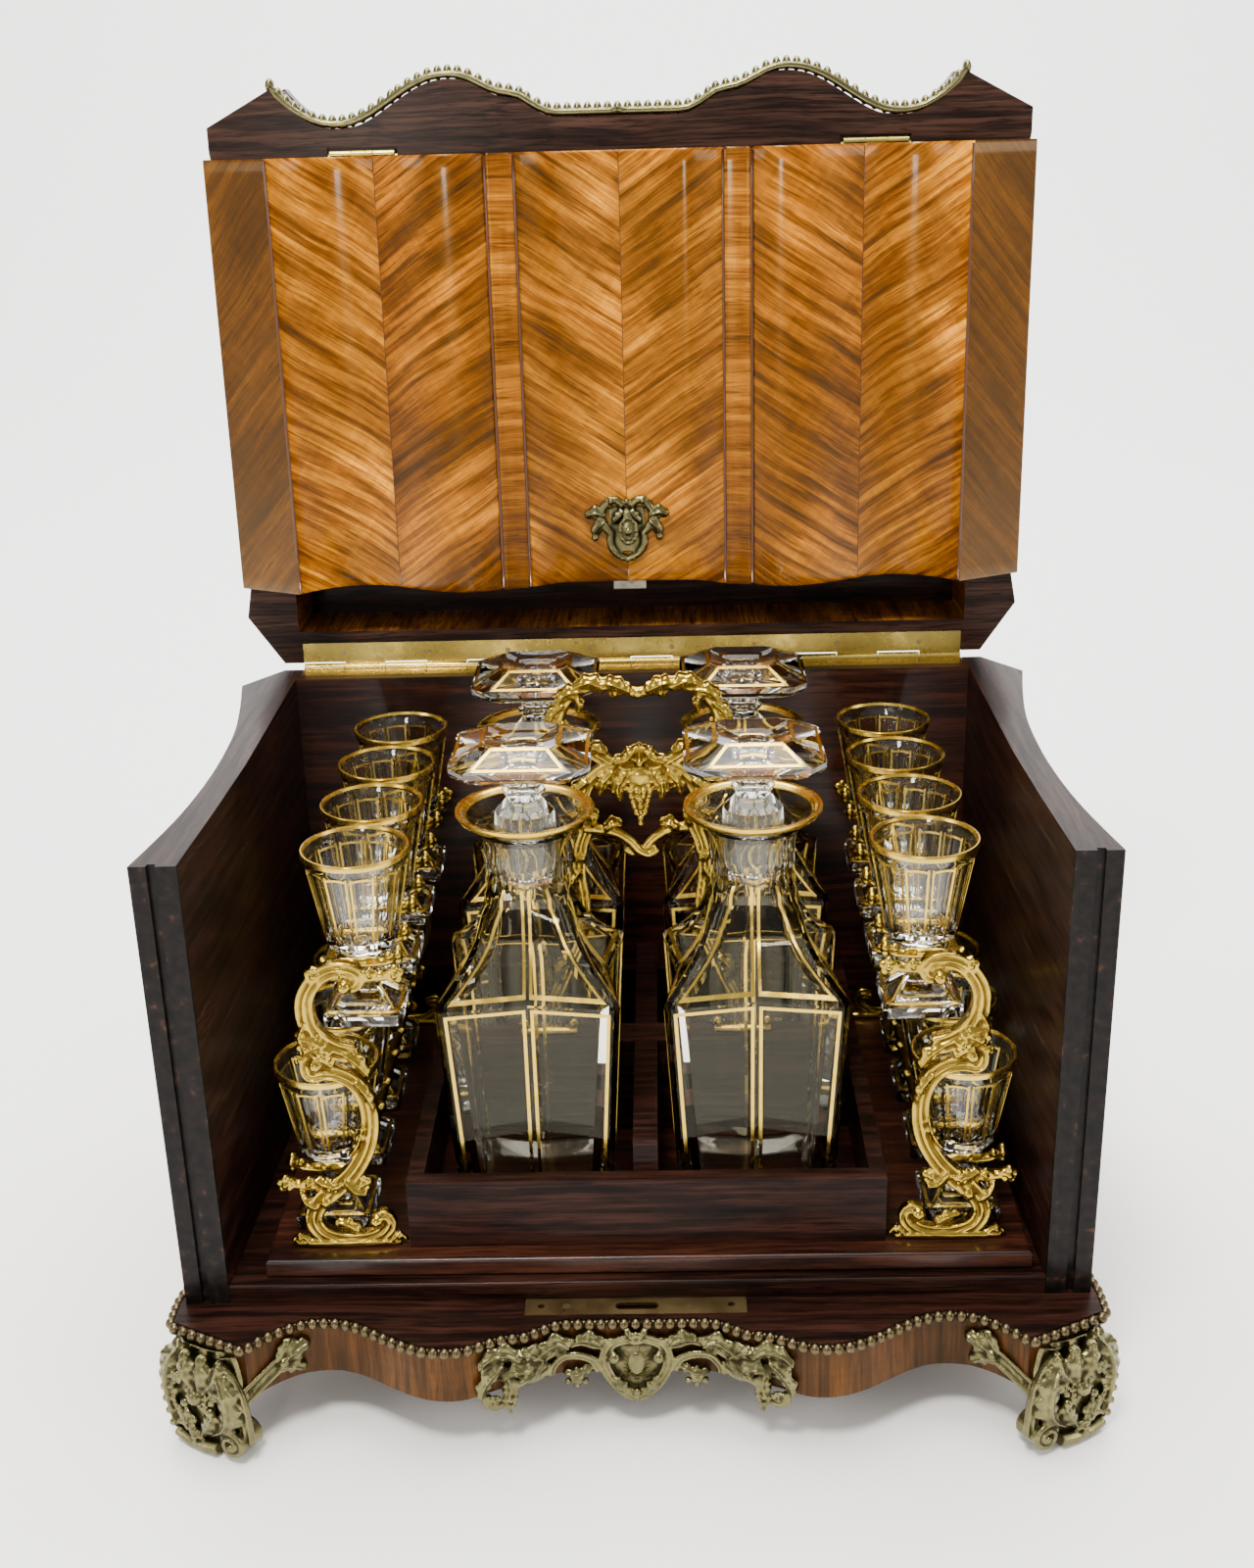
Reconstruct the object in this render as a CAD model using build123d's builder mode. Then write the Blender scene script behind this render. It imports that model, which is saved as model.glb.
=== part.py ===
from build123d import *
import os
from math import sin, cos, radians, hypot, pi

os.makedirs("parts", exist_ok=True)

# ----------------------------------------------------------------------------
# Antique tantalus: a serpentine-fronted casket whose lid carries a hinged
# front panel, with a lift-out tray of four decanters and sixteen glasses.
# Millimetres. +X to the right, +Z up, the front faces -Y. The origin is the
# middle of the footprint of the open casket, on the table.
# ----------------------------------------------------------------------------

# Driving dimensions: the case
front_y = -116.2        # plane of the side walls' front ends
base_h = 46.0           # table to top of plinth
frieze_h = 23.5         # veneered frieze of the plinth
board_t = 3.2           # dark board on top of the plinth
wall_h = 175.0          # side and back walls above the plinth
rear_d = 213.0          # depth of the case behind the wall fronts
riser_h = 7.0           # raised floor inside the walls
# the lid and its hinge
open_deg = 92.0         # angle at which the open lid rests on its stops
rail_h = 34.0           # depth of the lid's hollow
lid_top_t = 9.0
hinge_half = 144.0      # half length of the long hinge
knuckle = 18.0          # one knuckle of the long hinge
knuckle_r = 1.9
pin_r = 0.9
pin_gap = 0.05
# the hinged front panel
panel_gap = 0.4         # closed panel to plinth
# the tray and what stands on it
tray_x = 4.5            # the loose tray stands a little right of centre
tray_half = 139.8
tray_t = 7.0
box_half = 87.5
glass_y = (38.0, 80.0, 122.0, 164.0)
upper_row = 100.2
lower_row = 117.5
upper_rim = 165.0       # rims above the plinth
lower_rim = 80.0
dec_x = 41.0
dec_y = (55.0, 143.0)
handle_y = 99.5

top_z = base_h + wall_h             # wall tops
lid_z = top_z + 0.3                 # underside of the closed lid
hinge_y = rear_d + knuckle_r + 0.3  # axis of the long hinge
hinge_z = top_z + 0.15
panel_y = 1.9                       # axis of the panel's hinges, lid closed
panel_z = lid_z - 0.6

# Plan of the beaded front edge, right half: distance from the middle, depth
SERP = [
    (0, -12.6), (24, -12.6), (28, -13.0), (31.5, -14.5), (35, -16.5),
    (38.5, -18.8), (41, -19.9), (46, -20.6), (52, -22.6), (58, -25.8),
    (62.5, -27.4), (67.4, -27.9), (72, -27.5), (76, -26.6), (83.5, -23.3),
    (91.5, -18.4), (99.5, -13.6), (107, -10.7), (112, -10.1), (117, -10.4),
    (122.5, -11.8), (128, -14.8), (132.5, -18.2), (136, -21.5), (139.5, -25.7),
]
# Plan of the hollowed side, right half, from the front end back
SIDE = [
    (165, 0), (161.2, 23), (158.6, 42), (156.7, 65), (155.9, 92),
    (156.3, 112), (157.3, 130), (159.7, 150), (163.3, 172), (167, 192),
]
INNER = [(148.7, 0), (146.6, 50), (145.2, 95), (145.2, 199)]


def level(h):
    """Horizontal plane whose y is the depth behind the wall fronts."""
    return Plane(origin=(0, front_y, h), x_dir=(1, 0, 0), z_dir=(0, 0, 1))


def upright(d):
    """Vertical plane facing the front: x across, y up from the table."""
    return Plane(origin=(0, front_y + d, 0), x_dir=(1, 0, 0), z_dir=(0, -1, 0))


# Frame of the lid as it stands open: x across, y = depth minus hinge depth,
# z = height above the hinge, all as in the closed lid.
a_open = radians(open_deg)
lid_o = Vector(0, front_y + hinge_y, hinge_z)


def lidp(h):
    d = Vector(0, sin(a_open), cos(a_open))
    return Plane(origin=lid_o + d * h, x_dir=(1, 0, 0), z_dir=d)


# Frame of the panel as it hangs: turned back by 2 degrees, against the lid.
a_hang = radians(open_deg - 90)
_dy, _dz = panel_y - hinge_y, panel_z - hinge_z
panel_o = Vector(
    0,
    front_y + hinge_y + _dy * cos(a_open) + _dz * sin(a_open),
    hinge_z - _dy * sin(a_open) + _dz * cos(a_open),
)


def panelp(h):
    """Plane of the hanging panel at a height h from its hinge axis."""
    d = Vector(0, sin(a_hang), cos(a_hang))
    return Plane(origin=panel_o + d * h, x_dir=(1, 0, 0), z_dir=d)


def front(off, dx=0.0, shift=0.0):
    """The serpentine from left corner to right corner, moved back by off."""
    right = [(x, y + off + shift) for x, y in SERP]
    k = (right[-1][0] - dx) / right[-1][0]
    right = [(x * k, y) for x, y in right]
    return [(-x, y) for x, y in reversed(right[1:])] + right


def mirrored(pts):
    return [(-x, y) for x, y in pts]


def outline(off, out, shift=0.0, rear=0.0):
    """Closed plan outline: off moves the front back, out moves the sides out."""
    f = front(off, dx=off * 0.5, shift=shift)
    right = [(x + out, y + shift) for x, y in SIDE]
    r_end = (152.5 + out * 0.8, rear_d + rear + shift)
    cant = (right[0][0], f[-1][1] + 14.0)
    Spline(*f)
    Line(f[-1], cant)
    Line(cant, right[0])
    Spline(*right)
    Line(right[-1], r_end)
    Line(r_end, (-r_end[0], r_end[1]))
    Line((-r_end[0], r_end[1]), (-right[-1][0], right[-1][1]))
    Spline(*mirrored(list(reversed(right))))
    Line((-right[0][0], right[0][1]), (-cant[0], cant[1]))
    Line((-cant[0], cant[1]), f[0])


def band(pts, widths):
    """Left and right edges of a ribbon along pts with the given half widths."""
    left, right = [], []
    for i, (x, y) in enumerate(pts):
        a, b = pts[max(i - 1, 0)], pts[min(i + 1, len(pts) - 1)]
        dx, dy = b[0] - a[0], b[1] - a[1]
        n = hypot(dx, dy)
        w = widths[i] if isinstance(widths, (list, tuple)) else widths
        left.append((x - dy / n * w, y + dx / n * w))
        right.append((x + dy / n * w, y - dx / n * w))
    return left, right


def ribbon(pts, widths):
    """A flat curved ribbon, drawn inside a sketch."""
    left, right = band(pts, widths)
    edges = [
        Edge.make_spline([Vector(*p) for p in left]),
        Edge.make_line(Vector(*left[-1]), Vector(*right[-1])),
        Edge.make_spline([Vector(*p) for p in reversed(right)]),
        Edge.make_line(Vector(*right[0]), Vector(*left[0])),
    ]
    make_face(edges)


def smooth(pts, n=4):
    """Points of an even curve through pts."""
    out = []
    for i in range(len(pts) - 1):
        a, b, c, d = (pts[max(i - 1, 0)], pts[i], pts[i + 1],
                      pts[min(i + 2, len(pts) - 1)])
        for k in range(n):
            t = k / n
            out.append(tuple(
                0.5 * (2 * b[j] + (c[j] - a[j]) * t
                       + (2 * a[j] - 5 * b[j] + 4 * c[j] - d[j]) * t * t
                       + (3 * b[j] - a[j] - 3 * c[j] + d[j]) * t ** 3)
                for j in (0, 1)))
    return out + [pts[-1]]


def rod(pts, width):
    """A flat curved bar with faceted edges, drawn inside a sketch."""
    left, right = band(smooth(pts), width)
    Polygon(*left, *reversed(right), align=None)


def ngon(n, r, turn=0.0):
    return [
        (r * cos(2 * pi * (i + turn) / n), r * sin(2 * pi * (i + turn) / n))
        for i in range(n)
    ]


def poly(pts):
    """A straight-sided face through the points, drawn inside a sketch."""
    Polygon(*pts, align=None)


def write(part, name):
    part.label = name
    export_step(part, "parts/" + name + ".step")


# ---------------------------------------------------------------- the plinth
with BuildPart() as plinth_frieze:
    with BuildSketch(level(base_h - frieze_h)):
        with BuildLine():
            outline(1.4, 2.0, rear=1.6)
        make_face()
    extrude(amount=frieze_h - board_t)
    # mortise that the lock's bolt drops into
    with BuildSketch(level(base_h - board_t)):
        with Locations((0, -4.3)):
            Rectangle(16.4, 4.4)
    extrude(amount=-5, mode=Mode.SUBTRACT)
write(plinth_frieze.part, "plinth_frieze")

with BuildPart() as plinth_top_board:
    with BuildSketch(level(base_h - board_t)):
        with BuildLine():
            outline(1.4, 2.0, rear=1.6)
        make_face()
    extrude(amount=board_t)
    with BuildSketch(level(base_h)):
        with Locations((0, -4.35)):
            Rectangle(80.8, 9.5)
    extrude(amount=-1.2, mode=Mode.SUBTRACT)
    with BuildSketch(level(base_h)):
        with Locations((0, -4.3)):
            Rectangle(16.4, 4.4)
    extrude(amount=-board_t, mode=Mode.SUBTRACT)
write(plinth_top_board.part, "plinth_top_board")

# Brass bead moulding round the front and sides of the plinth's top edge
with BuildPart() as bead_moulding:
    with BuildSketch(level(base_h - 4.4)):
        with BuildLine():
            outline(-0.8, 4.2, rear=1.6)
        make_face()
        with BuildLine():
            outline(1.4, 2.0, rear=1.6)
        make_face(mode=Mode.SUBTRACT)
        with Locations((0, 230)):
            Rectangle(400, 40, mode=Mode.SUBTRACT)
    extrude(amount=4.3)
write(bead_moulding.part, "bead_moulding")

# ------------------------------------------------------------------ the feet
# Side profile of the cast leg: distance out from the cant's face, height
LEG = [
    (0.05, 41.0), (2.6, 41.0), (4.6, 36.5), (7.2, 31.0), (8.2, 26.0),
    (7.2, 21.0), (5.6, 16.0), (5.4, 12.0), (7.2, 8.6), (10.6, 5.2),
    (12.6, 2.4), (11.8, 0.0), (3.0, 0.0), (-1.0, 3.5), (-5.5, 8.0),
    (-9.0, 14.0), (-12.0, 22.45), (0.05, 22.45),
]


def foot(cx, cy, nx, ny, name, sx):
    """Cast foot at a canted corner: centre of the cant and its normal."""
    face = Plane(
        origin=(cx, front_y + cy, 0), x_dir=(nx, ny, 0), z_dir=(ny, -nx, 0)
    )
    with BuildPart() as leg:
        # leg under the corner, as wide as the cant
        with BuildSketch(face.offset(-11.5)):
            poly(LEG)
        extrude(amount=23.0)
        # bracket arms that carry the plinth on each side of the leg
        with BuildSketch(Plane(
            origin=(cx, front_y + cy, 15.5), x_dir=(nx, ny, 0),
            z_dir=(0, 0, 1)
        )):
            poly([(-12, -19), (-2.0, -19), (-0.5, -10), (-0.5, 10),
                  (-2.0, 19), (-12, 19), (-24, 8), (-24, -8)])
        extrude(amount=6.9)
    write(leg.part, name)
    return leg.part


for sx, side_name in ((-1, "left"), (1, "right")):
    foot(sx * 153.3, -18.0, sx * 0.442, -0.897,
         "foot_front_" + side_name, sx)
    foot(sx * 161.9, 204.0, sx * 0.822, 0.569,
         "foot_rear_" + side_name, sx)

# -------------------------------------------------- bronze mount of the apron
APRON = [
    (0, 40.0), (5, 41.0), (9, 38.5), (14, 37.5), (17, 40.0), (22, 39.5),
    (27, 36.5), (33, 38.5), (39, 40.3), (46, 39.0), (51, 35.0), (54.5, 30.0),
    (52.0, 26.5), (46, 28.5), (41, 25.0), (35, 22.0), (29, 21.0), (24, 18.0),
    (18, 17.0), (13, 14.5), (8, 12.0), (4, 10.6), (0, 10.4),
]
with BuildPart() as apron_mount:
    with BuildSketch(level(8.0)):
        f_in, f_out = front(1.2, dx=0.7), front(-2.9, dx=0.7)
        sel = [i for i, p in enumerate(f_in) if abs(p[0]) < 60]
        inner = [f_in[i] for i in sel]
        outer = [f_out[i] for i in sel]
        with BuildLine():
            Spline(*inner)
            Line(inner[-1], outer[-1])
            Spline(*reversed(outer))
            Line(outer[0], inner[0])
        make_face()
    extrude(amount=34)
    with BuildSketch(upright(10)):
        with BuildLine():
            Spline(*APRON)
            Spline(*mirrored(APRON))
        make_face()
    extrude(amount=60, mode=Mode.INTERSECT)
write(apron_mount.part, "apron_mount")

# ----------------------------------------------------------------- the walls
for sx, side_name in ((-1, "left"), (1, "right")):
    with BuildPart() as side_wall:
        with BuildSketch(level(base_h)):
            with BuildLine():
                Spline(*[(sx * x, y) for x, y in SIDE])
                Line((sx * 167, 192), (sx * 152.5, rear_d))
                Line((sx * 152.5, rear_d), (sx * 145.2, rear_d))
                Polyline(
                    (sx * 145.2, rear_d),
                    *[(sx * x, y) for x, y in reversed(INNER)],
                    (sx * 165, 0)
                )
            make_face()
        extrude(amount=wall_h)
        # upright groove in the ebonised front end
        with BuildSketch(level(base_h)):
            with Locations((sx * 157.4, 0.5)):
                Rectangle(3.0, 3.0)
        extrude(amount=wall_h, mode=Mode.SUBTRACT)
    write(side_wall.part, "side_wall_" + side_name)

with BuildPart() as back_wall:
    with BuildSketch(level(base_h)):
        with Locations((0, (199 + rear_d) / 2)):
            Rectangle(290.3, rear_d - 199)
    extrude(amount=wall_h)
    # rebate for the lower leaf of the long hinge
    with BuildSketch(level(top_z)):
        with Locations((0, rear_d - 4.4)):
            Rectangle(2 * hinge_half + 0.4, 8.8)
    extrude(amount=-0.9, mode=Mode.SUBTRACT)
write(back_wall.part, "back_wall")

with BuildPart() as floor_riser:
    with BuildSketch(level(base_h)):
        r = [(x - 0.1, y) for x, y in INNER]
        r[0] = (r[0][0], 0.4)
        poly(r + mirrored(list(reversed(r))))
    extrude(amount=riser_h)
    top_edge = floor_riser.faces().sort_by(Axis.Z)[-1].edges().sort_by(Axis.Y)[0]
    fillet(top_edge, 1.0)
write(floor_riser.part, "floor_riser")

with BuildPart() as strike_plate:
    with BuildSketch(level(base_h - 1.15)):
        with Locations((0, -4.35)):
            Rectangle(80.4, 9.3)
        with Locations((0.5, -4.3)):
            SlotOverall(15.6, 3.8, mode=Mode.SUBTRACT)
        with Locations((-34.3, -4.0), (34.7, -4.0)):
            Circle(1.3, mode=Mode.SUBTRACT)
        with Locations((-25.2, -4.0), (19.0, -4.0)):
            Circle(1.5, mode=Mode.SUBTRACT)
    extrude(amount=1.2)
write(strike_plate.part, "strike_plate")

# -------------------------------------------------------------- the long hinge
n_knuckle = int(2 * hinge_half / knuckle)


screw_x = [-126 + 36 * k for k in range(8)]
pin_plane = Plane(origin=lid_o - Vector(hinge_half, 0, 0), x_dir=(0, 1, 0),
                  z_dir=(1, 0, 0))


def knuckle_row(phase):
    """Left ends of every second knuckle along the pin."""
    return [-hinge_half + i * knuckle for i in range(n_knuckle)
            if i % 2 == phase]


def leaf(plane, phase):
    """Outline of a leaf, notched for the other leaf's knuckles."""
    with BuildSketch(plane) as face:
        with Locations((0, -5.45)):
            Rectangle(2 * hinge_half, 10.9)
        for x in knuckle_row(1 - phase):
            with Locations((x + knuckle / 2, 0)):
                Rectangle(knuckle + 0.4, 4.8, mode=Mode.SUBTRACT)
        with Locations(*[(x, -6.4) for x in screw_x]):
            Circle(1.15, mode=Mode.SUBTRACT)
    return face.sketch


hinge_plane = Plane(origin=lid_o, x_dir=(1, 0, 0), z_dir=(0, 0, 1))
with BuildPart() as case_hinge_leaf:
    extrude(leaf(hinge_plane.offset(-1.05), 0), amount=0.9)
    for x in knuckle_row(0):
        with BuildSketch(pin_plane.offset(x + hinge_half + 0.2)):
            Circle(knuckle_r)
        extrude(amount=knuckle - 0.4)
    with BuildSketch(pin_plane.offset(-1)):
        Circle(pin_r + pin_gap)
    extrude(amount=2 * hinge_half + 2, mode=Mode.SUBTRACT)
write(case_hinge_leaf.part, "case_hinge_leaf")

with BuildPart() as lid_hinge_leaf:
    extrude(leaf(lidp(0.15), 1), amount=0.9)
    for x in knuckle_row(1):
        with BuildSketch(pin_plane.offset(x + hinge_half + 0.2)):
            Circle(knuckle_r)
        extrude(amount=knuckle - 0.4)
    with BuildSketch(pin_plane.offset(-1)):
        Circle(pin_r + pin_gap)
    extrude(amount=2 * hinge_half + 2, mode=Mode.SUBTRACT)
write(lid_hinge_leaf.part, "lid_hinge_leaf")

with BuildPart() as hinge_pin:
    with BuildSketch(pin_plane):
        Circle(pin_r)
    extrude(amount=2 * hinge_half)
write(hinge_pin.part, "hinge_pin")

# --------------------------------------------------------------------- the lid
with BuildPart() as lid_frame:
    with BuildSketch(lidp(lid_z - hinge_z)):
        with BuildLine():
            outline(2.2, 0.0, shift=-hinge_y)
        make_face()
        poly([(x, y - hinge_y) for x, y in
              [(148.0, 12), (145.2, 95), (145.2, 199), (-145.2, 199),
               (-145.2, 95), (-148.0, 12)]][::-1])
    extrude(amount=rail_h)
    with BuildSketch(lidp(lid_z - hinge_z)):
        poly([(x, y - hinge_y) for x, y in
              [(148.0, 12), (145.2, 95), (145.2, 199), (-145.2, 199),
               (-145.2, 95), (-148.0, 12)]][::-1])
    extrude(amount=rail_h, mode=Mode.SUBTRACT)
    # rebate for the upper leaf of the long hinge
    with BuildSketch(lidp(lid_z - hinge_z)):
        with Locations((0, -2.2 - 4.4)):
            Rectangle(2 * hinge_half + 0.4, 8.8)
    extrude(amount=0.9, mode=Mode.SUBTRACT)
    # rebates for the panel's two butt hinges, and room for their knuckles
    with BuildSketch(lidp(lid_z - hinge_z)):
        with Locations((-103, -hinge_y + 4.7), (103, -hinge_y + 4.7)):
            Rectangle(28.4, 7.0)
    extrude(amount=1.0, mode=Mode.SUBTRACT)
    with BuildSketch(lidp(lid_z - hinge_z)):
        with Locations((-103, -hinge_y + panel_y), (103, -hinge_y + panel_y)):
            Rectangle(28.4, 5.4)
    extrude(amount=2.2, mode=Mode.SUBTRACT)
write(lid_frame.part, "lid_frame")

with BuildPart() as lid_top_board:
    with BuildSketch(lidp(lid_z - hinge_z + rail_h)):
        with BuildLine():
            outline(1.2, 1.0, shift=-hinge_y, rear=1.0)
        make_face()
    extrude(amount=lid_top_t)
write(lid_top_board.part, "lid_top_board")

# Gadrooned brass border along the lower front edge of the lid
with BuildPart() as gadroon_border:
    with BuildSketch(lidp(lid_z - hinge_z + 0.3)):
        g_in = front(2.15, dx=1.1, shift=-hinge_y)
        g_out = front(-2.2, dx=-0.6, shift=-hinge_y)
        with BuildLine():
            Spline(*g_in)
            Polyline(g_in[-1], g_out[-1])
            Spline(*reversed(g_out))
            Polyline(g_out[0], g_in[0])
        make_face()
    extrude(amount=6.5)
write(gadroon_border.part, "gadroon_border")

# ------------------------------------------------------- the hinged front panel
panel_top = (lid_z - 1.2) - panel_z          # heights from the hinge axis
panel_bot = (base_h + panel_gap) - panel_z
bolt_y = -4.3 - panel_y                      # depth of the lock's bolt

with BuildPart() as front_panel:
    with BuildSketch(panelp(panel_bot)):
        f = front(2.2, dx=1.1, shift=-panel_y)
        cant = (165.0, f[-1][1] + 14.0)
        inn = -0.3 - panel_y
        with BuildLine():
            Spline(*f)
            Polyline(f[-1], cant, (165.0, inn), (-165.0, inn),
                     (-cant[0], cant[1]), f[0])
        make_face()
    extrude(amount=panel_top - panel_bot)
    # raised cross-grained pilaster strips
    f_in = front(2.4, dx=1.1, shift=-panel_y)
    f_out = front(1.2, dx=1.1, shift=-panel_y)
    for sx in (-1, 1):
        sel = [i for i, p in enumerate(f_in) if 40 < sx * p[0] < 52.2]
        with BuildSketch(panelp(panel_bot)):
            a = [f_in[i] for i in sel]
            b = [f_out[i] for i in sel]
            poly(a + list(reversed(b)))
        extrude(amount=panel_top - panel_bot)
    # mortise of the lock, open to the inner face and the bottom edge
    with BuildSketch(panelp(panel_bot)):
        with Locations((0, inn - 3.9)):
            Rectangle(46.2, 7.8)
    extrude(amount=32.2, mode=Mode.SUBTRACT)
    # keyhole through to the lock
    with BuildSketch(Plane(
        origin=panel_o + panelp(0).z_dir * (panel_bot + 22.0),
        x_dir=(1, 0, 0), z_dir=-panelp(0).y_dir
    )):
        Circle(2.4)
    extrude(amount=40, mode=Mode.SUBTRACT)
    # rebates for the two butt hinges
    with BuildSketch(panelp(panel_top)):
        with Locations((-103, -2.2 - 3.1), (103, -2.2 - 3.1)):
            Rectangle(26.4, 6.4)
    extrude(amount=-1.0, mode=Mode.SUBTRACT)
    with BuildSketch(panelp(panel_top)):
        with Locations((-103, 0), (103, 0)):
            Rectangle(26.4, 5.0)
    extrude(amount=-2.6, mode=Mode.SUBTRACT)
write(front_panel.part, "front_panel")

with BuildPart() as lock_case:
    with BuildSketch(panelp(panel_bot)):
        with Locations((0, inn - 3.85)):
            Rectangle(46.0, 7.6)
        with Locations((0.5, bolt_y)):
            Rectangle(14.0, 3.1, mode=Mode.SUBTRACT)
    extrude(amount=32.0)
    with BuildSketch(Plane(
        origin=panel_o + panelp(0).z_dir * (panel_bot + 22.0),
        x_dir=(1, 0, 0), z_dir=-panelp(0).y_dir
    )):
        Circle(2.0)
    extrude(amount=40, mode=Mode.SUBTRACT)
write(lock_case.part, "lock_case")

with BuildPart() as lock_bolt:
    with BuildSketch(panelp(panel_bot - 4.6)):
        with Locations((0.5, bolt_y)):
            Rectangle(13.8, 2.9)
    extrude(amount=16.0)
    fillet(lock_bolt.faces().sort_by(Axis.Z)[0].edges(), 0.5)
write(lock_bolt.part, "lock_bolt")

# Bronze escutcheon on the middle of the panel's outer face
esc_face = -11.0 + 0.6 - panel_y     # flat middle of the front, from the axis
key_h = panel_bot + 22.0


def facing(h, d):
    """Plane facing the viewer on the hanging panel: d in front of its axis."""
    return Plane(
        origin=panel_o + panelp(0).z_dir * h + panelp(0).y_dir * (-d),
        x_dir=(1, 0, 0), z_dir=-panelp(0).y_dir
    )


ESC = [
    (0, 13.5), (4.5, 15.2), (8, 12.2), (13, 12.4), (18, 8.5), (17.5, 3.5),
    (13.5, 0.5), (15.5, -4.5), (12.5, -9.0), (8.0, -9.5), (5.0, -13.0),
    (0, -14.5),
]
esc_d = 12.4 - 0.1 + 0.0
with BuildPart() as escutcheon:
    with BuildSketch(facing(key_h, 12.35)):
        with BuildLine():
            Spline(*ESC)
            Spline(*mirrored(ESC))
        make_face()
        with Locations((0, 0.8)):
            Circle(1.7, mode=Mode.SUBTRACT)
        with Locations((0, -1.6)):
            Rectangle(1.8, 4.4, mode=Mode.SUBTRACT)
    extrude(amount=1.8)
    with BuildSketch(facing(key_h, 12.35)):
        with Locations((0, 8.6)):
            Circle(0.95)
    extrude(amount=4.0)
    with BuildSketch(facing(key_h, 12.35 + 3.25)):
        with Locations((0, 8.6)):
            Circle(1.7)
    extrude(amount=0.9)
write(escutcheon.part, "escutcheon")

# Keyhole cover that swings on the escutcheon's rivet
with BuildPart() as keyhole_cover:
    with BuildSketch(facing(key_h, 12.35 + 2.0)):
        with Locations((0, 8.6)):
            Circle(2.6)
        with Locations((0.5, 0.6)):
            Ellipse(4.2, 6.4)
        poly([(-2.2, 8.4), (2.2, 8.4), (4.2, 2.0), (-3.4, 2.0)])
        with Locations((0, 8.6)):
            Circle(1.0, mode=Mode.SUBTRACT)
    extrude(amount=1.1)
write(keyhole_cover.part, "keyhole_cover")

# The panel's two butt hinges: leaves on the lid's rail and on the panel
with BuildPart() as panel_hinge_rail_leaves:
    for xc in (-103, 103):
        with BuildSketch(lidp(lid_z - hinge_z)):
            with Locations((xc, -hinge_y + panel_y + 2.8)):
                Rectangle(28.0, 6.6)
            with Locations((xc - 8, -hinge_y + 5.6), (xc + 8, -hinge_y + 5.6)):
                Circle(1.15, mode=Mode.SUBTRACT)
        extrude(amount=0.9)
        for x0 in (xc - 13.0, xc + 4.5):
            with BuildSketch(Plane(origin=panel_o + Vector(x0, 0, 0),
                                   x_dir=lidp(0).y_dir, z_dir=(1, 0, 0))):
                Circle(1.7)
                poly([(-1.7, 0), (-1.2, 1.5), (1.2, 1.5), (1.7, 0)])
            extrude(amount=8.5)
        with BuildSketch(Plane(origin=panel_o + Vector(xc - 14, 0, 0),
                               x_dir=lidp(0).y_dir, z_dir=(1, 0, 0))):
            Circle(0.85)
        extrude(amount=28, mode=Mode.SUBTRACT)
        with BuildSketch(Plane(origin=panel_o + Vector(xc - 4.5, 0, 0),
                               x_dir=lidp(0).y_dir, z_dir=(1, 0, 0))):
            Circle(2.1)
        extrude(amount=9.0, mode=Mode.SUBTRACT)
write(panel_hinge_rail_leaves.part, "panel_hinge_rail_leaves")

with BuildPart() as panel_hinge_panel_leaves:
    for xc in (-103, 103):
        with BuildSketch(panelp(panel_top - 0.95)):
            with Locations((xc, -2.2 - 3.0)):
                Rectangle(26.0, 6.0)
            with Locations((xc - 8, -5.6), (xc + 8, -5.6)):
                Circle(1.15, mode=Mode.SUBTRACT)
        extrude(amount=0.9)
        with BuildSketch(Plane(origin=panel_o + Vector(xc - 4.2, 0, 0),
                               x_dir=panelp(0).y_dir, z_dir=(1, 0, 0))):
            Circle(1.7)
            poly([(-2.4, panel_top - 0.95), (-2.4, panel_top - 0.05),
                  (-0.9, panel_top - 0.05), (0, -0.9)])
        extrude(amount=8.4)
        with BuildSketch(Plane(origin=panel_o + Vector(xc - 14, 0, 0),
                               x_dir=panelp(0).y_dir, z_dir=(1, 0, 0))):
            Circle(0.85)
        extrude(amount=28, mode=Mode.SUBTRACT)
write(panel_hinge_panel_leaves.part, "panel_hinge_panel_leaves")

with BuildPart() as panel_hinge_pins:
    for xc in (-103, 103):
        with BuildSketch(Plane(origin=panel_o + Vector(xc - 13.0, 0, 0),
                               x_dir=(0, 1, 0), z_dir=(1, 0, 0))):
            Circle(0.8)
        extrude(amount=26.0)
write(panel_hinge_pins.part, "panel_hinge_pins")


# ------------------------------------------------------------------ the screws
def screws(plane, places, r, length):
    """Countersunk screws whose heads lie on the plane and point down."""
    for radius, deep in ((r, 0.5), (r * 0.5, length)):
        with BuildSketch(plane) as heads:
            with Locations(*places):
                Circle(radius)
        extrude(heads.sketch, amount=-deep)


with BuildPart() as case_screws_and_nails:
    screws(hinge_plane.offset(-0.15),
           [(-126 + 36 * k, -6.4) for k in range(8)], 1.1, 9)
    screws(level(base_h + 0.0), [(-25.2, -4.0), (19.0, -4.0)], 1.45, 8)
write(case_screws_and_nails.part, "case_screws_and_nails")

with BuildPart() as lid_screws:
    flip = Plane(origin=lidp(0.15).origin, x_dir=(1, 0, 0),
                 z_dir=-lidp(0).z_dir)
    screws(flip, [(-126 + 36 * k, 6.4) for k in range(8)], 1.1, 9)
    flip2 = Plane(origin=lidp(lid_z - hinge_z).origin, x_dir=(1, 0, 0),
                  z_dir=-lidp(0).z_dir)
    screws(flip2, [(s * 103 + e, hinge_y - 5.6)
                   for s in (-1, 1) for e in (-8, 8)], 1.1, 7)
write(lid_screws.part, "lid_screws")

with BuildPart() as panel_screws:
    screws(panelp(panel_top - 0.05),
           [(s * 103 + e, -5.6) for s in (-1, 1) for e in (-8, 8)], 1.1, 7)
write(panel_screws.part, "panel_screws")

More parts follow.
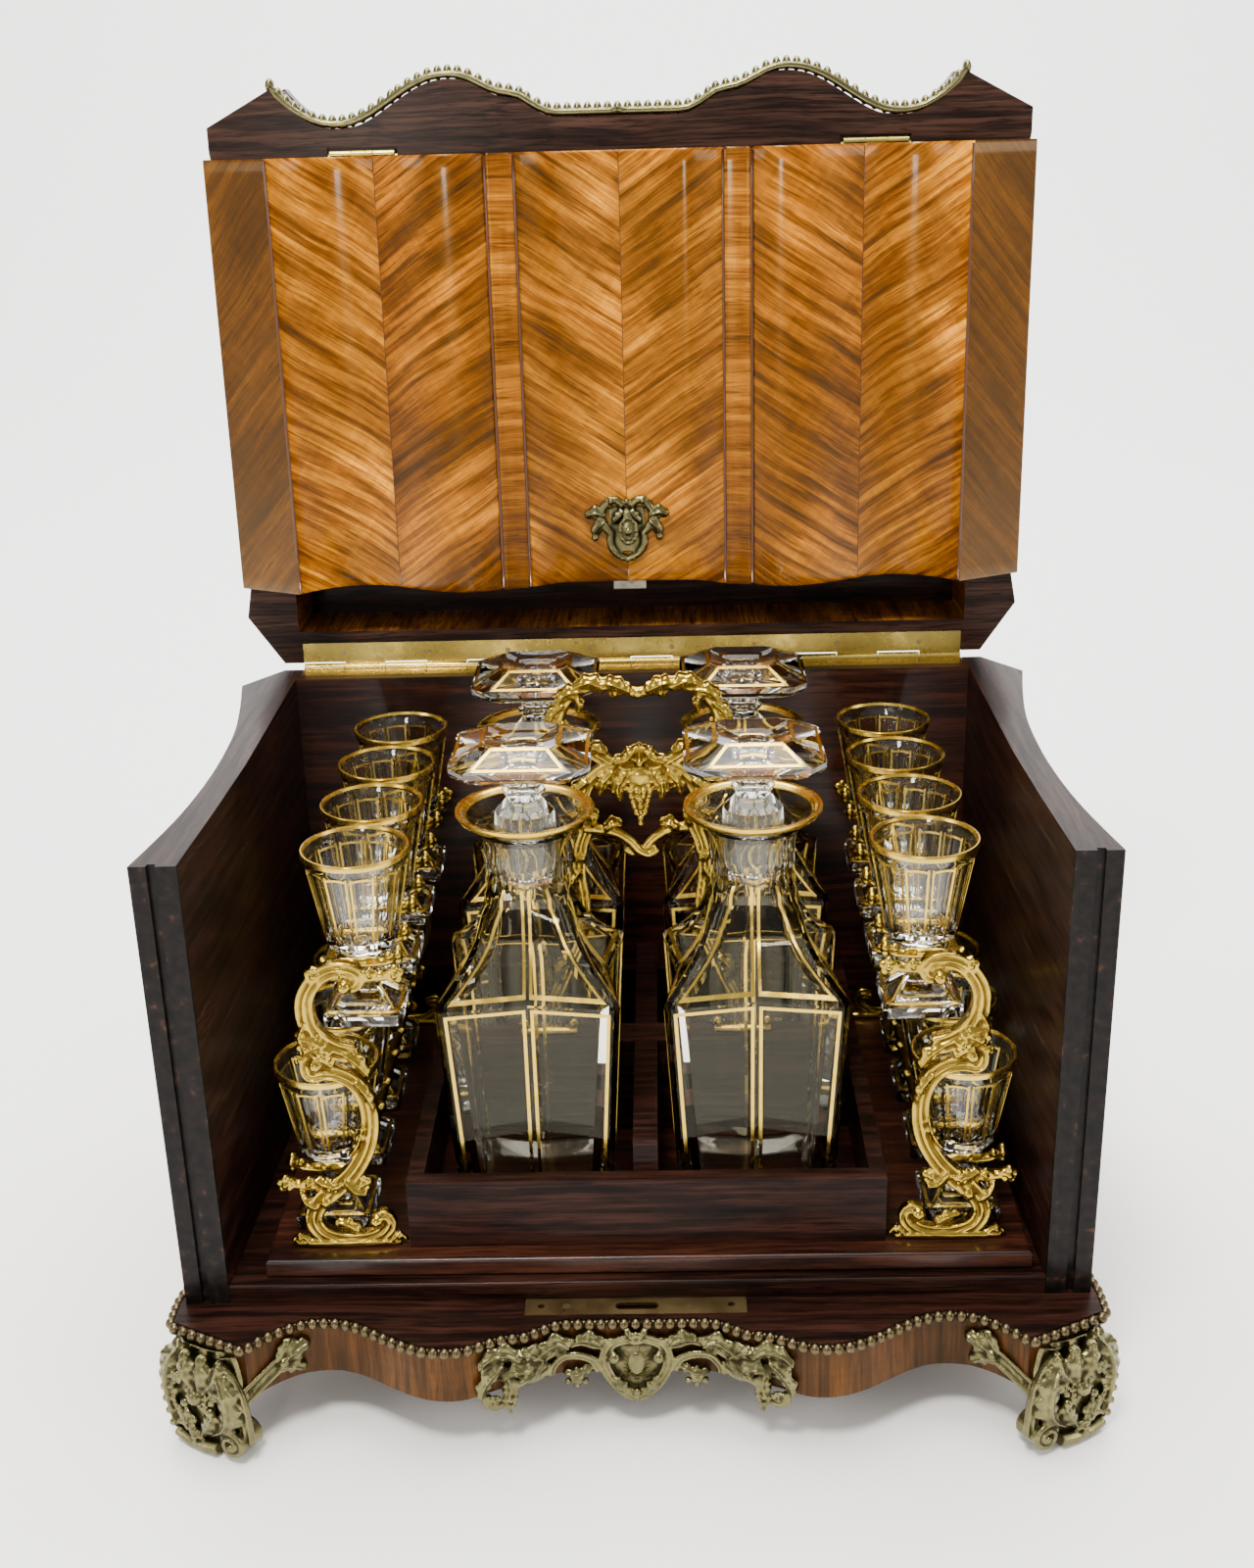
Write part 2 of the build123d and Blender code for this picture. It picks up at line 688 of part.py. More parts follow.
# -------------------------------------------------------------------- the tray
tray_z = base_h + riser_h + 0.2
deck_z = tray_z + tray_t
with BuildPart() as tray_board:
    with BuildSketch(level(tray_z)):
        with Locations((tray_x, (5 + 193.5) / 2)):
            Rectangle(2 * tray_half, 188.5)
    extrude(amount=tray_t)
    fillet(tray_board.faces().sort_by(Axis.Z)[-1].edges(), 1.2)
    fillet(tray_board.faces().sort_by(Axis.Z)[0].edges(), 1.2)
write(tray_board.part, "tray_board")

with BuildPart() as decanter_box:
    with BuildSketch(level(deck_z)):
        with Locations((tray_x, 99.5)):
            Rectangle(2 * box_half, 173)
            Rectangle(2 * box_half - 12, 161, mode=Mode.SUBTRACT)
    extrude(amount=27.8)
write(decanter_box.part, "decanter_box")

divider_h = 40.8
with BuildPart() as decanter_dividers:
    with BuildSketch(level(deck_z)):
        with Locations((tray_x, 99.5)):
            Rectangle(9.0, 161)
            Rectangle(2 * box_half - 12, 15)
    extrude(amount=divider_h)
write(decanter_dividers.part, "decanter_dividers")

# Gilt carrying handle that stands astride the cross divider
GRIP_L = [(-25, 179), (-30.5, 181), (-31.5, 189), (-28, 198), (-20, 203),
          (-10, 204), (-2, 201.4), (2, 200.6)]
ARM_L = [(-26.5, 180), (-21, 178.4), (-14, 174.0), (-7, 169.5), (2, 168.2)]
LEG_L = [(-12, 172), (-19, 165), (-22, 157), (-21, 147), (-24, 137),
         (-24.5, 126), (-23, 112), (-26, 96), (-32, 80), (-37, 66),
         (-37.4, 54)]
LOW_L = [(-23, 144.5), (-17, 144.2), (-10, 142.6), (-4, 138.6), (2, 136)]
up = base_h
with BuildPart() as carrying_handle:
    with BuildSketch(upright(handle_y + 3.2)):
        for side in (-1, 1):
            for path, w in ((GRIP_L, 2.7), (ARM_L, 2.4), (LEG_L, 2.5),
                            (LOW_L, 2.2)):
                rod([(tray_x - side * x, z + up) for x, z in path], w)
            poly([(tray_x + side * x, z + up) for x, z in
                  [(17, 148), (22, 148), (26, 152), (24, 157), (18, 157)]])
        # central cartouche and its pendent grapes
        poly([(tray_x + x, z + up) for x, z in
              [(-9, 164), (-6, 171), (0, 173), (6, 171), (9, 164), (5, 158),
               (4, 150), (0, 145.5), (-4, 150), (-5, 158)]])
    extrude(amount=6.4)
    # foot plates on the divider
    with BuildSketch(level(deck_z + divider_h)):
        with Locations((tray_x - 39, handle_y), (tray_x + 39, handle_y)):
            Rectangle(25, 13)
    extrude(amount=3.0)
    with BuildSketch(level(deck_z + divider_h)):
        with Locations((tray_x, handle_y)):
            Rectangle(120, 20)
    extrude(amount=-4.0, mode=Mode.SUBTRACT)
write(carrying_handle.part, "carrying_handle")

# Gilt racks: scrolled ends, two rails and a fork for every glass stem
CUP = [(99.6, 125.4), (105.5, 126.6), (111.5, 125.2), (116.2, 120.5),
       (118.6, 113.0), (117.9, 104.4), (113.9, 98.1), (108.4, 93.6),
       (102.5, 92.3), (98.5, 94.0)]
ESS = [(117.5, 92.0), (118.6, 86.6), (113.4, 86.2), (107.5, 85.2),
       (102.0, 80.6), (99.1, 73.0), (98.7, 64.0), (100.9, 54.9),
       (105.4, 46.7), (111.2, 40.0), (116.4, 35.4)]
CEE = [(114.5, 38.5), (120.0, 32.0), (122.4, 25.6), (119.6, 20.2),
       (112.5, 17.6), (104.4, 17.6), (98.2, 20.0), (95.2, 24.4),
       (98.2, 28.0)]
for sx, side_name in ((-1, "left"), (1, "right")):
    with BuildPart() as rack:
        for d0 in (19.0, 186.0):
            with BuildSketch(upright(d0)):
                for path, w in ((CUP, 3.0), (ESS, 3.1), (CEE, 2.9)):
                    ribbon([(tray_x + sx * x, z + up) for x, z in path], w)
                # link of the cup and the ess, and the lugs for the rails
                poly([(tray_x + sx * x, z + up) for x, z in
                      [(99, 92), (104, 94.5), (110, 96.5), (118, 98),
                       (121, 92), (118, 84), (108, 83), (101, 84)]])
                poly([(tray_x + sx * x, z + up) for x, z in
                      [(103.5, 36.5), (103.5, 48), (112, 46), (118, 38),
                       (114, 34)]])
                # spreading foot
                poly([(tray_x + sx * x, z + up) for x, z in
                      [(87.5, 14.25), (89, 17.2), (100, 18.4), (112, 18.2),
                       (122, 18.0), (131, 16.6), (132.5, 14.25)]])
            extrude(amount=5.0)
        for row, z1, spine, tip in (
            (upper_row, upper_rim - 39.2, 9.6, -12.5),
            (lower_row, lower_rim - 39.2, -9.6, 12.5),
        ):
            s_in, s_out = sorted((row + spine, row + spine * 1.45))
            with BuildSketch(level(up + z1 - 4.2)):
                with BuildLine():
                    Polyline(
                        (tray_x + sx * s_in, 15), (tray_x + sx * s_out, 15),
                        (tray_x + sx * s_out, 184.5),
                        (tray_x + sx * s_in, 184.5), close=True)
                make_face()
                for gy in glass_y:
                    for e in (-1, 1):
                        xa, xb = sorted((tray_x + sx * (row + tip),
                                         tray_x + sx * (row + spine)))
                        with Locations(((xa + xb) / 2, gy + e * 8.7)):
                            Rectangle(xb - xa + 0.6, 3.4)
            extrude(amount=4.2)
    write(rack.part, "rack_" + side_name)

# ----------------------------------------------------------------- the glasses
def stack(x, y, z0, sections, mode=Mode.ADD):
    """A ruled body through polygon sections, all with as many corners."""
    for (za, pa), (zb, pb) in zip(sections, sections[1:]):
        with BuildSketch(Plane(origin=(x, y, z0 + za))) as low:
            poly(pa)
        with BuildSketch(Plane(origin=(x, y, z0 + zb))) as high:
            poly(pb)
        loft(sections=[low.sketch, high.sketch], ruled=True, mode=mode)


def square(h, cut, n=2):
    """Square of half size h with its corners cut off."""
    return [(h, -h + cut), (h, h - cut), (h - cut, h), (-h + cut, h),
            (-h, h - cut), (-h, -h + cut), (-h + cut, -h), (h - cut, -h)]


BOWL = [(-39.0, ngon(12, 11.0, 0.5)), (-37.0, ngon(12, 12.9, 0.5)),
        (0.0, ngon(12, 19.3, 0.5))]
HOLLOW = [(-34.0, ngon(12, 9.8, 0.5)), (0.0, ngon(12, 17.7, 0.5))]
STEM = [(-49.5, ngon(8, 5.4, 0.5)), (-38.9, ngon(8, 5.4, 0.5))]
FOOT = [(-65.0, square(14.0, 1.2)), (-59.0, square(14.0, 1.2)),
        (-57.5, square(11.5, 2.0)), (-49.4, square(6.2, 2.4))]

for sx, side_name in ((-1, "left"), (1, "right")):
    for row, rim_z, tier in ((upper_row, upper_rim, "upper"),
                             (lower_row, lower_rim, "lower")):
        for n, gy in enumerate(glass_y, 1):
            gx, gyy, gz = tray_x + sx * row, front_y + gy, base_h + rim_z
            with BuildPart() as glass:
                stack(gx, gyy, gz, BOWL)
                stack(gx, gyy, gz, STEM)
                stack(gx, gyy, gz, FOOT)
                stack(gx, gyy, gz, HOLLOW, mode=Mode.SUBTRACT)
            write(glass.part, f"glass_{side_name}_{tier}_{n}")

# --------------------------------------------------------------- the decanters
def pinched(h, notch, cut):
    """Square section with clipped corners and a shallow vee in each side."""
    q = [(h, -h + cut), (h - notch, 0), (h, h - cut)]
    pts = []
    for k in range(4):
        c, s = round(cos(k * pi / 2)), round(sin(k * pi / 2))
        pts += [(x * c - y * s, x * s + y * c) for x, y in q]
    return pts


def round12(r):
    """Twelve corners on a circle, in step with those of pinched()."""
    out = []
    for k in range(4):
        for d in (-32, 0, 32):
            a = radians(k * 90 + d)
            out.append((r * cos(a), r * sin(a)))
    return out


dec_z = deck_z + 0.2 - base_h     # underside, above the plinth
BODY = [
    (dec_z, pinched(28.0, 3.0, 2.2)),
    (42.0, pinched(29.6, 3.8, 2.2)),
    (106.5, pinched(33.3, 5.0, 2.4)),
    (109.0, pinched(32.3, 5.0, 2.6)),
    (115.5, pinched(25.5, 3.6, 3.2)),
    (124.0, pinched(19.6, 2.0, 3.8)),
    (134.5, pinched(16.2, 0.8, 4.6)),
    (146.0, round12(15.6)),
    (160.0, round12(15.4)),
    (166.5, round12(19.6)),
    (170.0, round12(24.6)),
    (171.5, round12(24.8)),
]
CAVITY = [
    (dec_z + 7.0, pinched(23.0, 2.4, 3.0)),
    (106.0, pinched(29.2, 4.2, 3.6)),
    (114.0, pinched(23.0, 3.0, 4.0)),
    (123.5, pinched(16.8, 1.4, 4.2)),
    (134.5, pinched(13.0, 0.5, 4.4)),
    (141.5, round12(11.6)),
    (163.5, round12(11.6)),
    (171.5, round12(22.6)),
]
CAP = [
    (184.0, square(7.4, 4.0)), (189.0, square(23.2, 6.4)),
    (191.8, square(24.8, 6.6)), (193.8, square(24.8, 6.6)),
    (199.4, square(12.4, 2.4)),
]
NECK = [(172.5, ngon(8, 9.2, 0.5)), (176.5, ngon(8, 6.6, 0.5)),
        (181.0, ngon(8, 6.6, 0.5)), (184.1, ngon(8, 8.8, 0.5))]
PLUG = [(143.0, ngon(16, 9.2, 0.5)), (163.2, ngon(16, 11.0, 0.5)),
        (167.5, ngon(16, 11.6, 0.5)), (172.6, ngon(16, 9.6, 0.5))]

for sx, side_name in ((-1, "left"), (1, "right")):
    for dy, place in zip(dec_y, ("front", "rear")):
        x, y = tray_x + sx * dec_x, front_y + dy
        with BuildPart() as decanter:
            stack(x, y, base_h, BODY)
            stack(x, y, base_h, CAVITY, mode=Mode.SUBTRACT)
        write(decanter.part, f"decanter_{place}_{side_name}")
        with BuildPart() as stopper:
            stack(x, y, base_h, PLUG)
            stack(x, y, base_h, NECK)
            stack(x, y, base_h, CAP)
        write(stopper.part, f"stopper_{place}_{side_name}")

print("lid hinge axis", lid_o, "panel hinge axis", panel_o)
print("bolt axis", panelp(0).z_dir, "cover pivot",
      facing(key_h + 8.6, 12.35).origin, "normal", facing(0, 0).z_dir)
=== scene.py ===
import math
import random
from math import atan2, cos, hypot, pi, radians, sin, sqrt

import bmesh
import bpy
import numpy as np
from mathutils import Matrix, Vector


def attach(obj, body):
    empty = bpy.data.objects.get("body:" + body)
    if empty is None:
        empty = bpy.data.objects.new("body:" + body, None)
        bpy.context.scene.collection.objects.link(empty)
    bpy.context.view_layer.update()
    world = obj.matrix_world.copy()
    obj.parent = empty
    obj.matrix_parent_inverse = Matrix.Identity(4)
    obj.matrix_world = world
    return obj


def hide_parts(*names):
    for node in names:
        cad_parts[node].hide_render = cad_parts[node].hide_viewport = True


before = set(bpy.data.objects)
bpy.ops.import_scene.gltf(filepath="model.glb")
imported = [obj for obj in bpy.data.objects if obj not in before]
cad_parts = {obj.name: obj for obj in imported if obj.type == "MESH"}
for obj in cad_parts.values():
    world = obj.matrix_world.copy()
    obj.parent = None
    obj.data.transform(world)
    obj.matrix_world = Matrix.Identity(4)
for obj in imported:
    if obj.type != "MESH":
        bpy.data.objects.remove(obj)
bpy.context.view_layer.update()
random.seed(4)

# ---------------------------------------------------------------- the frame
F, ZP, MM = -116.2, 46.0, 0.001
CX = 4.5                                   # middle of the loose tray
HY, HZ = F + 215.2, 221.15                 # axis of the long hinge
A92, A2 = radians(92), radians(2)
YL = Vector((0, cos(A92), -sin(A92)))
ZL = Vector((0, sin(A92), cos(A92)))
YP = Vector((0, cos(A2), -sin(A2)))
ZPN = Vector((0, sin(A2), cos(A2)))
LID_O = Vector((0, HY, HZ))
_dy, _dz = 1.9 - 215.2, 220.7 - 221.15
PAN_O = Vector((0, HY + _dy * cos(A92) + _dz * sin(A92),
                HZ - _dy * sin(A92) + _dz * cos(A92)))


def P(x, y, z):
    """Depth behind the wall fronts and height above the plinth, in mm."""
    return Vector((x, y + F, z + ZP)) * MM


def LP(x, y, z):
    """A point of the lid, given where it is with the lid shut."""
    return (LID_O + Vector((x, 0, 0)) + YL * (y - 215.2)
            + ZL * (z + ZP - 221.15)) * MM


def PP(x, d, h):
    """A point of the panel: depth and height from its hinge axis."""
    return (PAN_O + Vector((x, 0, 0)) + YP * d + ZPN * h) * MM


SERP = [
    (0, -12.6), (24, -12.6), (28, -13.0), (31.5, -14.5), (35, -16.5),
    (38.5, -18.8), (41, -19.9), (46, -20.6), (52, -22.6), (58, -25.8),
    (62.5, -27.4), (67.4, -27.9), (72, -27.5), (76, -26.6), (83.5, -23.3),
    (91.5, -18.4), (99.5, -13.6), (107, -10.7), (112, -10.1), (117, -10.4),
    (122.5, -11.8), (128, -14.8), (132.5, -18.2), (136, -21.5), (139.5, -25.7),
]
SIDE = [
    (165, 0), (161.2, 23), (158.6, 42), (156.7, 65), (155.9, 92),
    (156.3, 112), (157.3, 130), (159.7, 150), (163.3, 172), (167, 192),
]


def catmull(pts, n=6):
    out = []
    for i in range(len(pts) - 1):
        a, b, c, d = (pts[max(i - 1, 0)], pts[i], pts[i + 1],
                      pts[min(i + 2, len(pts) - 1)])
        for k in range(n):
            t = k / n
            out.append(tuple(
                0.5 * (2 * b[j] + (c[j] - a[j]) * t
                       + (2 * a[j] - 5 * b[j] + 4 * c[j] - d[j]) * t * t
                       + (3 * b[j] - a[j] - 3 * c[j] + d[j]) * t ** 3)
                for j in range(len(b))))
    return out + [tuple(pts[-1])]


_fine = catmull([(-x, y) for x, y in reversed(SERP[1:])] + SERP, 6)
_fx = np.array([p[0] for p in _fine])
_fy = np.array([p[1] for p in _fine])


def serp(x):
    """Depth of the beaded front line at x."""
    return float(np.interp(x, _fx, _fy))


def side_x(y):
    ys = [p[1] for p in SIDE]
    xs = [p[0] for p in SIDE]
    return float(np.interp(y, ys, xs))


# ------------------------------------------------------------- mesh helpers
def mesh(name, verts, faces, mats, smooth=True, uvs=None, midx=None):
    me = bpy.data.meshes.new(name)
    me.from_pydata([tuple(v) for v in verts], [], faces)
    for m in (mats if isinstance(mats, (list, tuple)) else [mats]):
        me.materials.append(m)
    if midx is not None:
        me.polygons.foreach_set("material_index", midx)
    if smooth:
        me.polygons.foreach_set("use_smooth", [True] * len(me.polygons))
    if uvs is not None:
        layer = me.uv_layers.new(name="UVMap")
        for poly in me.polygons:
            for li, vi in zip(poly.loop_indices, poly.vertices):
                layer.data[li].uv = uvs[vi]
    me.update()
    ob = bpy.data.objects.new(name, me)
    bpy.context.scene.collection.objects.link(ob)
    return ob


class Bag:
    """Collects verts and faces of many small forms into one mesh."""

    def __init__(self):
        self.v, self.f, self.m = [], [], []

    def add(self, verts, faces, m=0):
        o = len(self.v)
        self.v += [Vector(v) for v in verts]
        self.f += [tuple(i + o for i in f) for f in faces]
        self.m += [m] * len(faces)

    def out(self, name, mats, smooth=True):
        return mesh(name, self.v, self.f, mats, smooth, midx=self.m)

    # all sizes in mm, through the mapping function T
    def sphere(self, T, c, r, seg=12, ring=8, squash=(1, 1, 1), m=0):
        c = Vector(c)
        vs, fs = [], []
        for i in range(ring + 1):
            ph = pi * i / ring
            for j in range(seg):
                th = 2 * pi * j / seg
                vs.append(T(c.x + r * squash[0] * sin(ph) * cos(th),
                            c.y + r * squash[1] * sin(ph) * sin(th),
                            c.z + r * squash[2] * cos(ph)))
        for i in range(ring):
            for j in range(seg):
                a, b = i * seg + j, i * seg + (j + 1) % seg
                fs.append((a, b, b + seg, a + seg))
        self.add(vs, fs, m)

    def tube(self, T, pts, radii, seg=10, m=0, flat=1.0, up=(0, 1, 0)):
        """A tube along pts; flat squashes it along the up direction."""
        pts = [Vector(p) for p in pts]
        n = len(pts)
        if not isinstance(radii, (list, tuple)):
            radii = [radii] * n
        vs, fs = [], []
        upv = Vector(up)
        for i, p in enumerate(pts):
            t = (pts[min(i + 1, n - 1)] - pts[max(i - 1, 0)]).normalized()
            a = t.cross(upv)
            if a.length < 1e-4:
                a = t.cross(Vector((1, 0, 0.1)))
            a.normalize()
            b = a.cross(t).normalized()
            for j in range(seg):
                th = 2 * pi * j / seg
                q = p + a * (radii[i] * cos(th)) + b * (radii[i] * flat * sin(th))
                vs.append(T(*q))
        for i in range(n - 1):
            for j in range(seg):
                k = (j + 1) % seg
                fs.append((i * seg + j, i * seg + k,
                           (i + 1) * seg + k, (i + 1) * seg + j))
        fs.append(tuple(range(seg)))
        fs.append(tuple(reversed(range((n - 1) * seg, n * seg))))
        self.add(vs, fs, m)

    def leaf(self, T, pts, width, thick=0.8, normal=(0, -1, 0), lobes=5,
             cup=0.5, m=0, n=26, depth=0.45):
        """A lobed leaf along pts, with a rib, standing off along normal."""
        cl = catmull(pts, max(2, n // max(len(pts) - 1, 1)))
        cl = [Vector(p) for p in cl]
        n = len(cl)
        nv = Vector(normal).normalized()
        cols = 9
        vs, fs = [], []
        for i, p in enumerate(cl):
            s = i / (n - 1)
            t = (cl[min(i + 1, n - 1)] - cl[max(i - 1, 0)]).normalized()
            a = t.cross(nv).normalized()
            w = width * (sin(pi * min(1, s * 0.9 + 0.12)) ** 0.7)
            w *= 1 - depth * (0.5 + 0.5 * cos(2 * pi * lobes * s))
            if s > 0.97:
                w *= 0.35
            for c in range(cols):
                u = c / (cols - 1) * 2 - 1
                rib = 0.55 * math.exp(-(u * 4) ** 2) + 0.25 * cos(u * pi * 3)
                lift = thick * (1.0 + rib) * (1 - 0.6 * u * u) - cup * u * u
                vs.append(T(*(p + a * (u * w) + nv * lift)))
        top = len(vs)
        for i, p in enumerate(cl):
            s = i / (n - 1)
            t = (cl[min(i + 1, n - 1)] - cl[max(i - 1, 0)]).normalized()
            a = t.cross(nv).normalized()
            w = width * (sin(pi * min(1, s * 0.9 + 0.12)) ** 0.7)
            w *= 1 - depth * (0.5 + 0.5 * cos(2 * pi * lobes * s))
            if s > 0.97:
                w *= 0.35
            for c in range(cols):
                u = c / (cols - 1) * 2 - 1
                vs.append(T(*(p + a * (u * w) - nv * (thick * 0.7 + cup * u * u))))
        for i in range(n - 1):
            for c in range(cols - 1):
                a0 = i * cols + c
                fs.append((a0, a0 + 1, a0 + cols + 1, a0 + cols))
                b0 = top + a0
                fs.append((b0, b0 + cols, b0 + cols + 1, b0 + 1))
        for i in range(n - 1):
            a0 = i * cols
            fs.append((a0, a0 + cols, top + a0 + cols, top + a0))
            a1 = a0 + cols - 1
            fs.append((a1, top + a1, top + a1 + cols, a1 + cols))
        for c in range(cols - 1):
            fs.append((c, top + c, top + c + 1, c + 1))
            e = (n - 1) * cols + c
            fs.append((e, e + 1, top + e + 1, top + e))
        self.add(vs, fs, m)


def spiral(cx, cz, r0, r1, a0, turns, n=26):
    """Points of a volute in a vertical plane, as (x, z)."""
    out = []
    for i in range(n):
        s = i / (n - 1)
        a = a0 + turns * 2 * pi * s
        r = r0 + (r1 - r0) * s ** 0.85
        out.append((cx + r * cos(a), cz + r * sin(a)))
    return out


def cast(ob, voxel=0.5, smooth=3, grain=0.0):
    """Fuses the joined forms as one casting and marks its recesses."""
    bpy.context.view_layer.objects.active = ob
    rm = ob.modifiers.new("fuse", "REMESH")
    rm.mode = "VOXEL"
    rm.voxel_size = voxel * MM
    dg = bpy.context.evaluated_depsgraph_get()
    me = bpy.data.meshes.new_from_object(ob.evaluated_get(dg))
    ob.modifiers.clear()
    old = ob.data
    mats = [m for m in old.materials]
    ob.data = me
    bpy.data.meshes.remove(old)
    if not me.materials:
        for m in mats[:1]:
            me.materials.append(m)
    n = len(me.vertices)
    co = np.empty(n * 3)
    me.vertices.foreach_get("co", co)
    co = co.reshape(-1, 3)
    ed = np.empty(len(me.edges) * 2, dtype=np.int64)
    me.edges.foreach_get("vertices", ed)
    ed = ed.reshape(-1, 2)
    deg = np.bincount(ed.ravel(), minlength=n).astype(float)[:, None]
    deg[deg == 0] = 1

    def avg(v):
        acc = np.zeros_like(v)
        np.add.at(acc, ed[:, 0], v[ed[:, 1]])
        np.add.at(acc, ed[:, 1], v[ed[:, 0]])
        return acc / deg

    for _ in range(smooth):
        co = co + 0.5 * (avg(co) - co)
    me.vertices.foreach_set("co", co.ravel())
    me.update()
    nr = np.empty(n * 3)
    me.vertices.foreach_get("normal", nr)
    nr = nr.reshape(-1, 3)
    # how far each point lies under the smoothed surface; metal() paints shade into the
    # recesses from it
    s = co.copy()
    for _ in range(14):
        s = avg(s)
    cav = ((s - co) * nr).sum(1) / (voxel * MM)
    for _ in range(2):
        cav = avg(cav[:, None])[:, 0]
    cav = np.clip(0.5 + cav * 0.55, 0, 1)
    att = me.attributes.new("recess", "FLOAT", "POINT")
    att.data.foreach_set("value", cav.astype(np.float32))
    me.polygons.foreach_set("use_smooth", [True] * len(me.polygons))
    return ob


# ---------------------------------------------------------------- materials
def new_mat(name):
    m = bpy.data.materials.new(name)
    m.use_nodes = True
    nt = m.node_tree
    nt.nodes.clear()
    out = nt.nodes.new("ShaderNodeOutputMaterial")
    bs = nt.nodes.new("ShaderNodeBsdfPrincipled")
    nt.links.new(bs.outputs[0], out.inputs[0])
    return m, nt, bs


def node(nt, kind, **kw):
    n = nt.nodes.new("ShaderNode" + kind)
    for k, v in kw.items():
        if k.startswith("i_"):
            key = k[2:].replace("_", " ")
            n.inputs[key].default_value = v
        else:
            setattr(n, k, v)
    return n


def ramp(nt, src, stops):
    r = nt.nodes.new("ShaderNodeValToRGB")
    el = r.color_ramp.elements
    while len(el) < len(stops):
        el.new(0.5)
    for e, (p, c) in zip(el, stops):
        e.position = p
        e.color = (*c, 1) if len(c) == 3 else c
    nt.links.new(src, r.inputs[0])
    return r.outputs[0]


def mix(nt, kind, fac, a, b):
    m = nt.nodes.new("ShaderNodeMix")
    m.data_type = "RGBA"
    m.blend_type = kind
    for sock, v in ((m.inputs[0], fac), (m.inputs[6], a), (m.inputs[7], b)):
        if hasattr(v, "links"):
            nt.links.new(v, sock)
        elif isinstance(v, (int, float)):
            sock.default_value = v
        else:
            sock.default_value = (*v, 1)
    return m.outputs[2]


def bump(nt, bs, height, strength=0.3, dist=0.0003):
    b = node(nt, "Bump")
    b.inputs["Strength"].default_value = strength
    b.inputs["Distance"].default_value = dist
    nt.links.new(height, b.inputs["Height"])
    nt.links.new(b.outputs[0], bs.inputs["Normal"])
    return b


def grain(nt, src, dark, mid, light, turn=(0, 0, 0), seed=0.0, figured=True,
          streak=0.8, painted_lustre=0.6, bold=0.5):
    """Colour of straight-grained wood whose grain runs along local x."""
    rot = node(nt, "Mapping")
    rot.inputs["Rotation"].default_value = turn
    rot.inputs["Location"].default_value = (seed * 0.37, seed * 0.91, seed)
    nt.links.new(src, rot.inputs["Vector"])

    def noise(frm, sx, sy, sz, scale, detail, rough=0.55, dist=0.0):
        mp = node(nt, "Mapping")
        mp.inputs["Scale"].default_value = (sx, sy, sz)
        nt.links.new(frm, mp.inputs["Vector"])
        n = node(nt, "TexNoise")
        n.inputs["Scale"].default_value = scale
        n.inputs["Detail"].default_value = detail
        n.inputs["Roughness"].default_value = rough
        n.inputs["Distortion"].default_value = dist
        nt.links.new(mp.outputs[0], n.inputs["Vector"])
        return n

    # the grain wanders a little
    wn = noise(rot.outputs[0], 1, 1, 1, 17, 2)
    wv = node(nt, "VectorMath", operation="MULTIPLY_ADD")
    nt.links.new(wn.outputs["Color"], wv.inputs[0])
    wv.inputs[1].default_value = (0.0, 0.005, 0.005)
    nt.links.new(rot.outputs[0], wv.inputs[2])
    g = wv.outputs[0]
    band = noise(g, 1.0, 20, 20, 15, 5, 0.62).outputs["Fac"]
    lines = noise(g, 1.0, 46, 46, 24, 4, 0.62).outputs["Fac"]
    dash = noise(g, 1.7, 25, 25, 44, 3, 0.55).outputs["Fac"]
    wide = noise(g, 1.0, 9, 9, 9, 3, 0.5).outputs["Fac"]
    col = ramp(nt, band, [(0.30, dark), (0.45, mid), (0.60, light),
                          (0.80, tuple(c * 1.15 for c in light))])
    col = mix(nt, "MULTIPLY", streak, col,
              ramp(nt, lines, [(0.37, (0.24, 0.15, 0.10)), (0.53, (1.06, 1.06, 1.06))]))
    pores = ramp(nt, dash, [(0.33, (0.16, 0.10, 0.08)), (0.43, (1, 1, 1))])
    col = mix(nt, "MULTIPLY", streak, col, pores)
    col = mix(nt, "MULTIPLY", bold, col,
              ramp(nt, wide, [(0.36, (0.50, 0.40, 0.34)), (0.50, (1, 1, 1))]))
    if figured:
        rib = noise(g, 26, 3, 3, 13, 2, 0.5).outputs["Fac"]
        col = mix(nt, "MULTIPLY", 0.4, col,
                  ramp(nt, rib, [(0.36, (0.70, 0.64, 0.6)), (0.62, (1.1, 1.1, 1.1))]))
        # painted highlight: cloudy patches of the figured veneer are brightened towards
        # gold, standing in for the shifting shine of its figure; the lustre strength sets
        # how strong
        cl = noise(rot.outputs[0], 1, 1.6, 1.6, 19, 2, 0.5).outputs["Fac"]
        painted_sheen_col = mix(nt, "MULTIPLY", 1.0, col, (2.6, 2.9, 1.9))
        bw = node(nt, "RGBToBW")
        nt.links.new(ramp(nt, cl, [(0.47, (0, 0, 0)), (0.66, (painted_lustre,) * 3)]),
                     bw.inputs[0])
        col = mix(nt, "MIX", bw.outputs[0], col, painted_sheen_col)
        dk = noise(rot.outputs[0], 1, 2.4, 2.4, 12, 2, 0.5).outputs["Fac"]
        col = mix(nt, "MULTIPLY", 0.75, col,
                  ramp(nt, dk, [(0.38, (0.40, 0.32, 0.26)), (0.56, (1, 1, 1))]))
    return col, pores, band


def wood_bsdf(nt, bs, col, pores, band, gloss, coat, spec):
    nt.links.new(col, bs.inputs["Base Color"])
    rr = ramp(nt, band, [(0.3, (gloss * 3.2,) * 3), (0.7, (gloss * 2.2,) * 3)])
    nt.links.new(rr, bs.inputs["Roughness"])
    bs.inputs["Specular IOR Level"].default_value = spec
    bs.inputs["Coat Weight"].default_value = coat
    bs.inputs["Coat Roughness"].default_value = gloss
    bump(nt, bs, pores, 0.10, 0.0002)


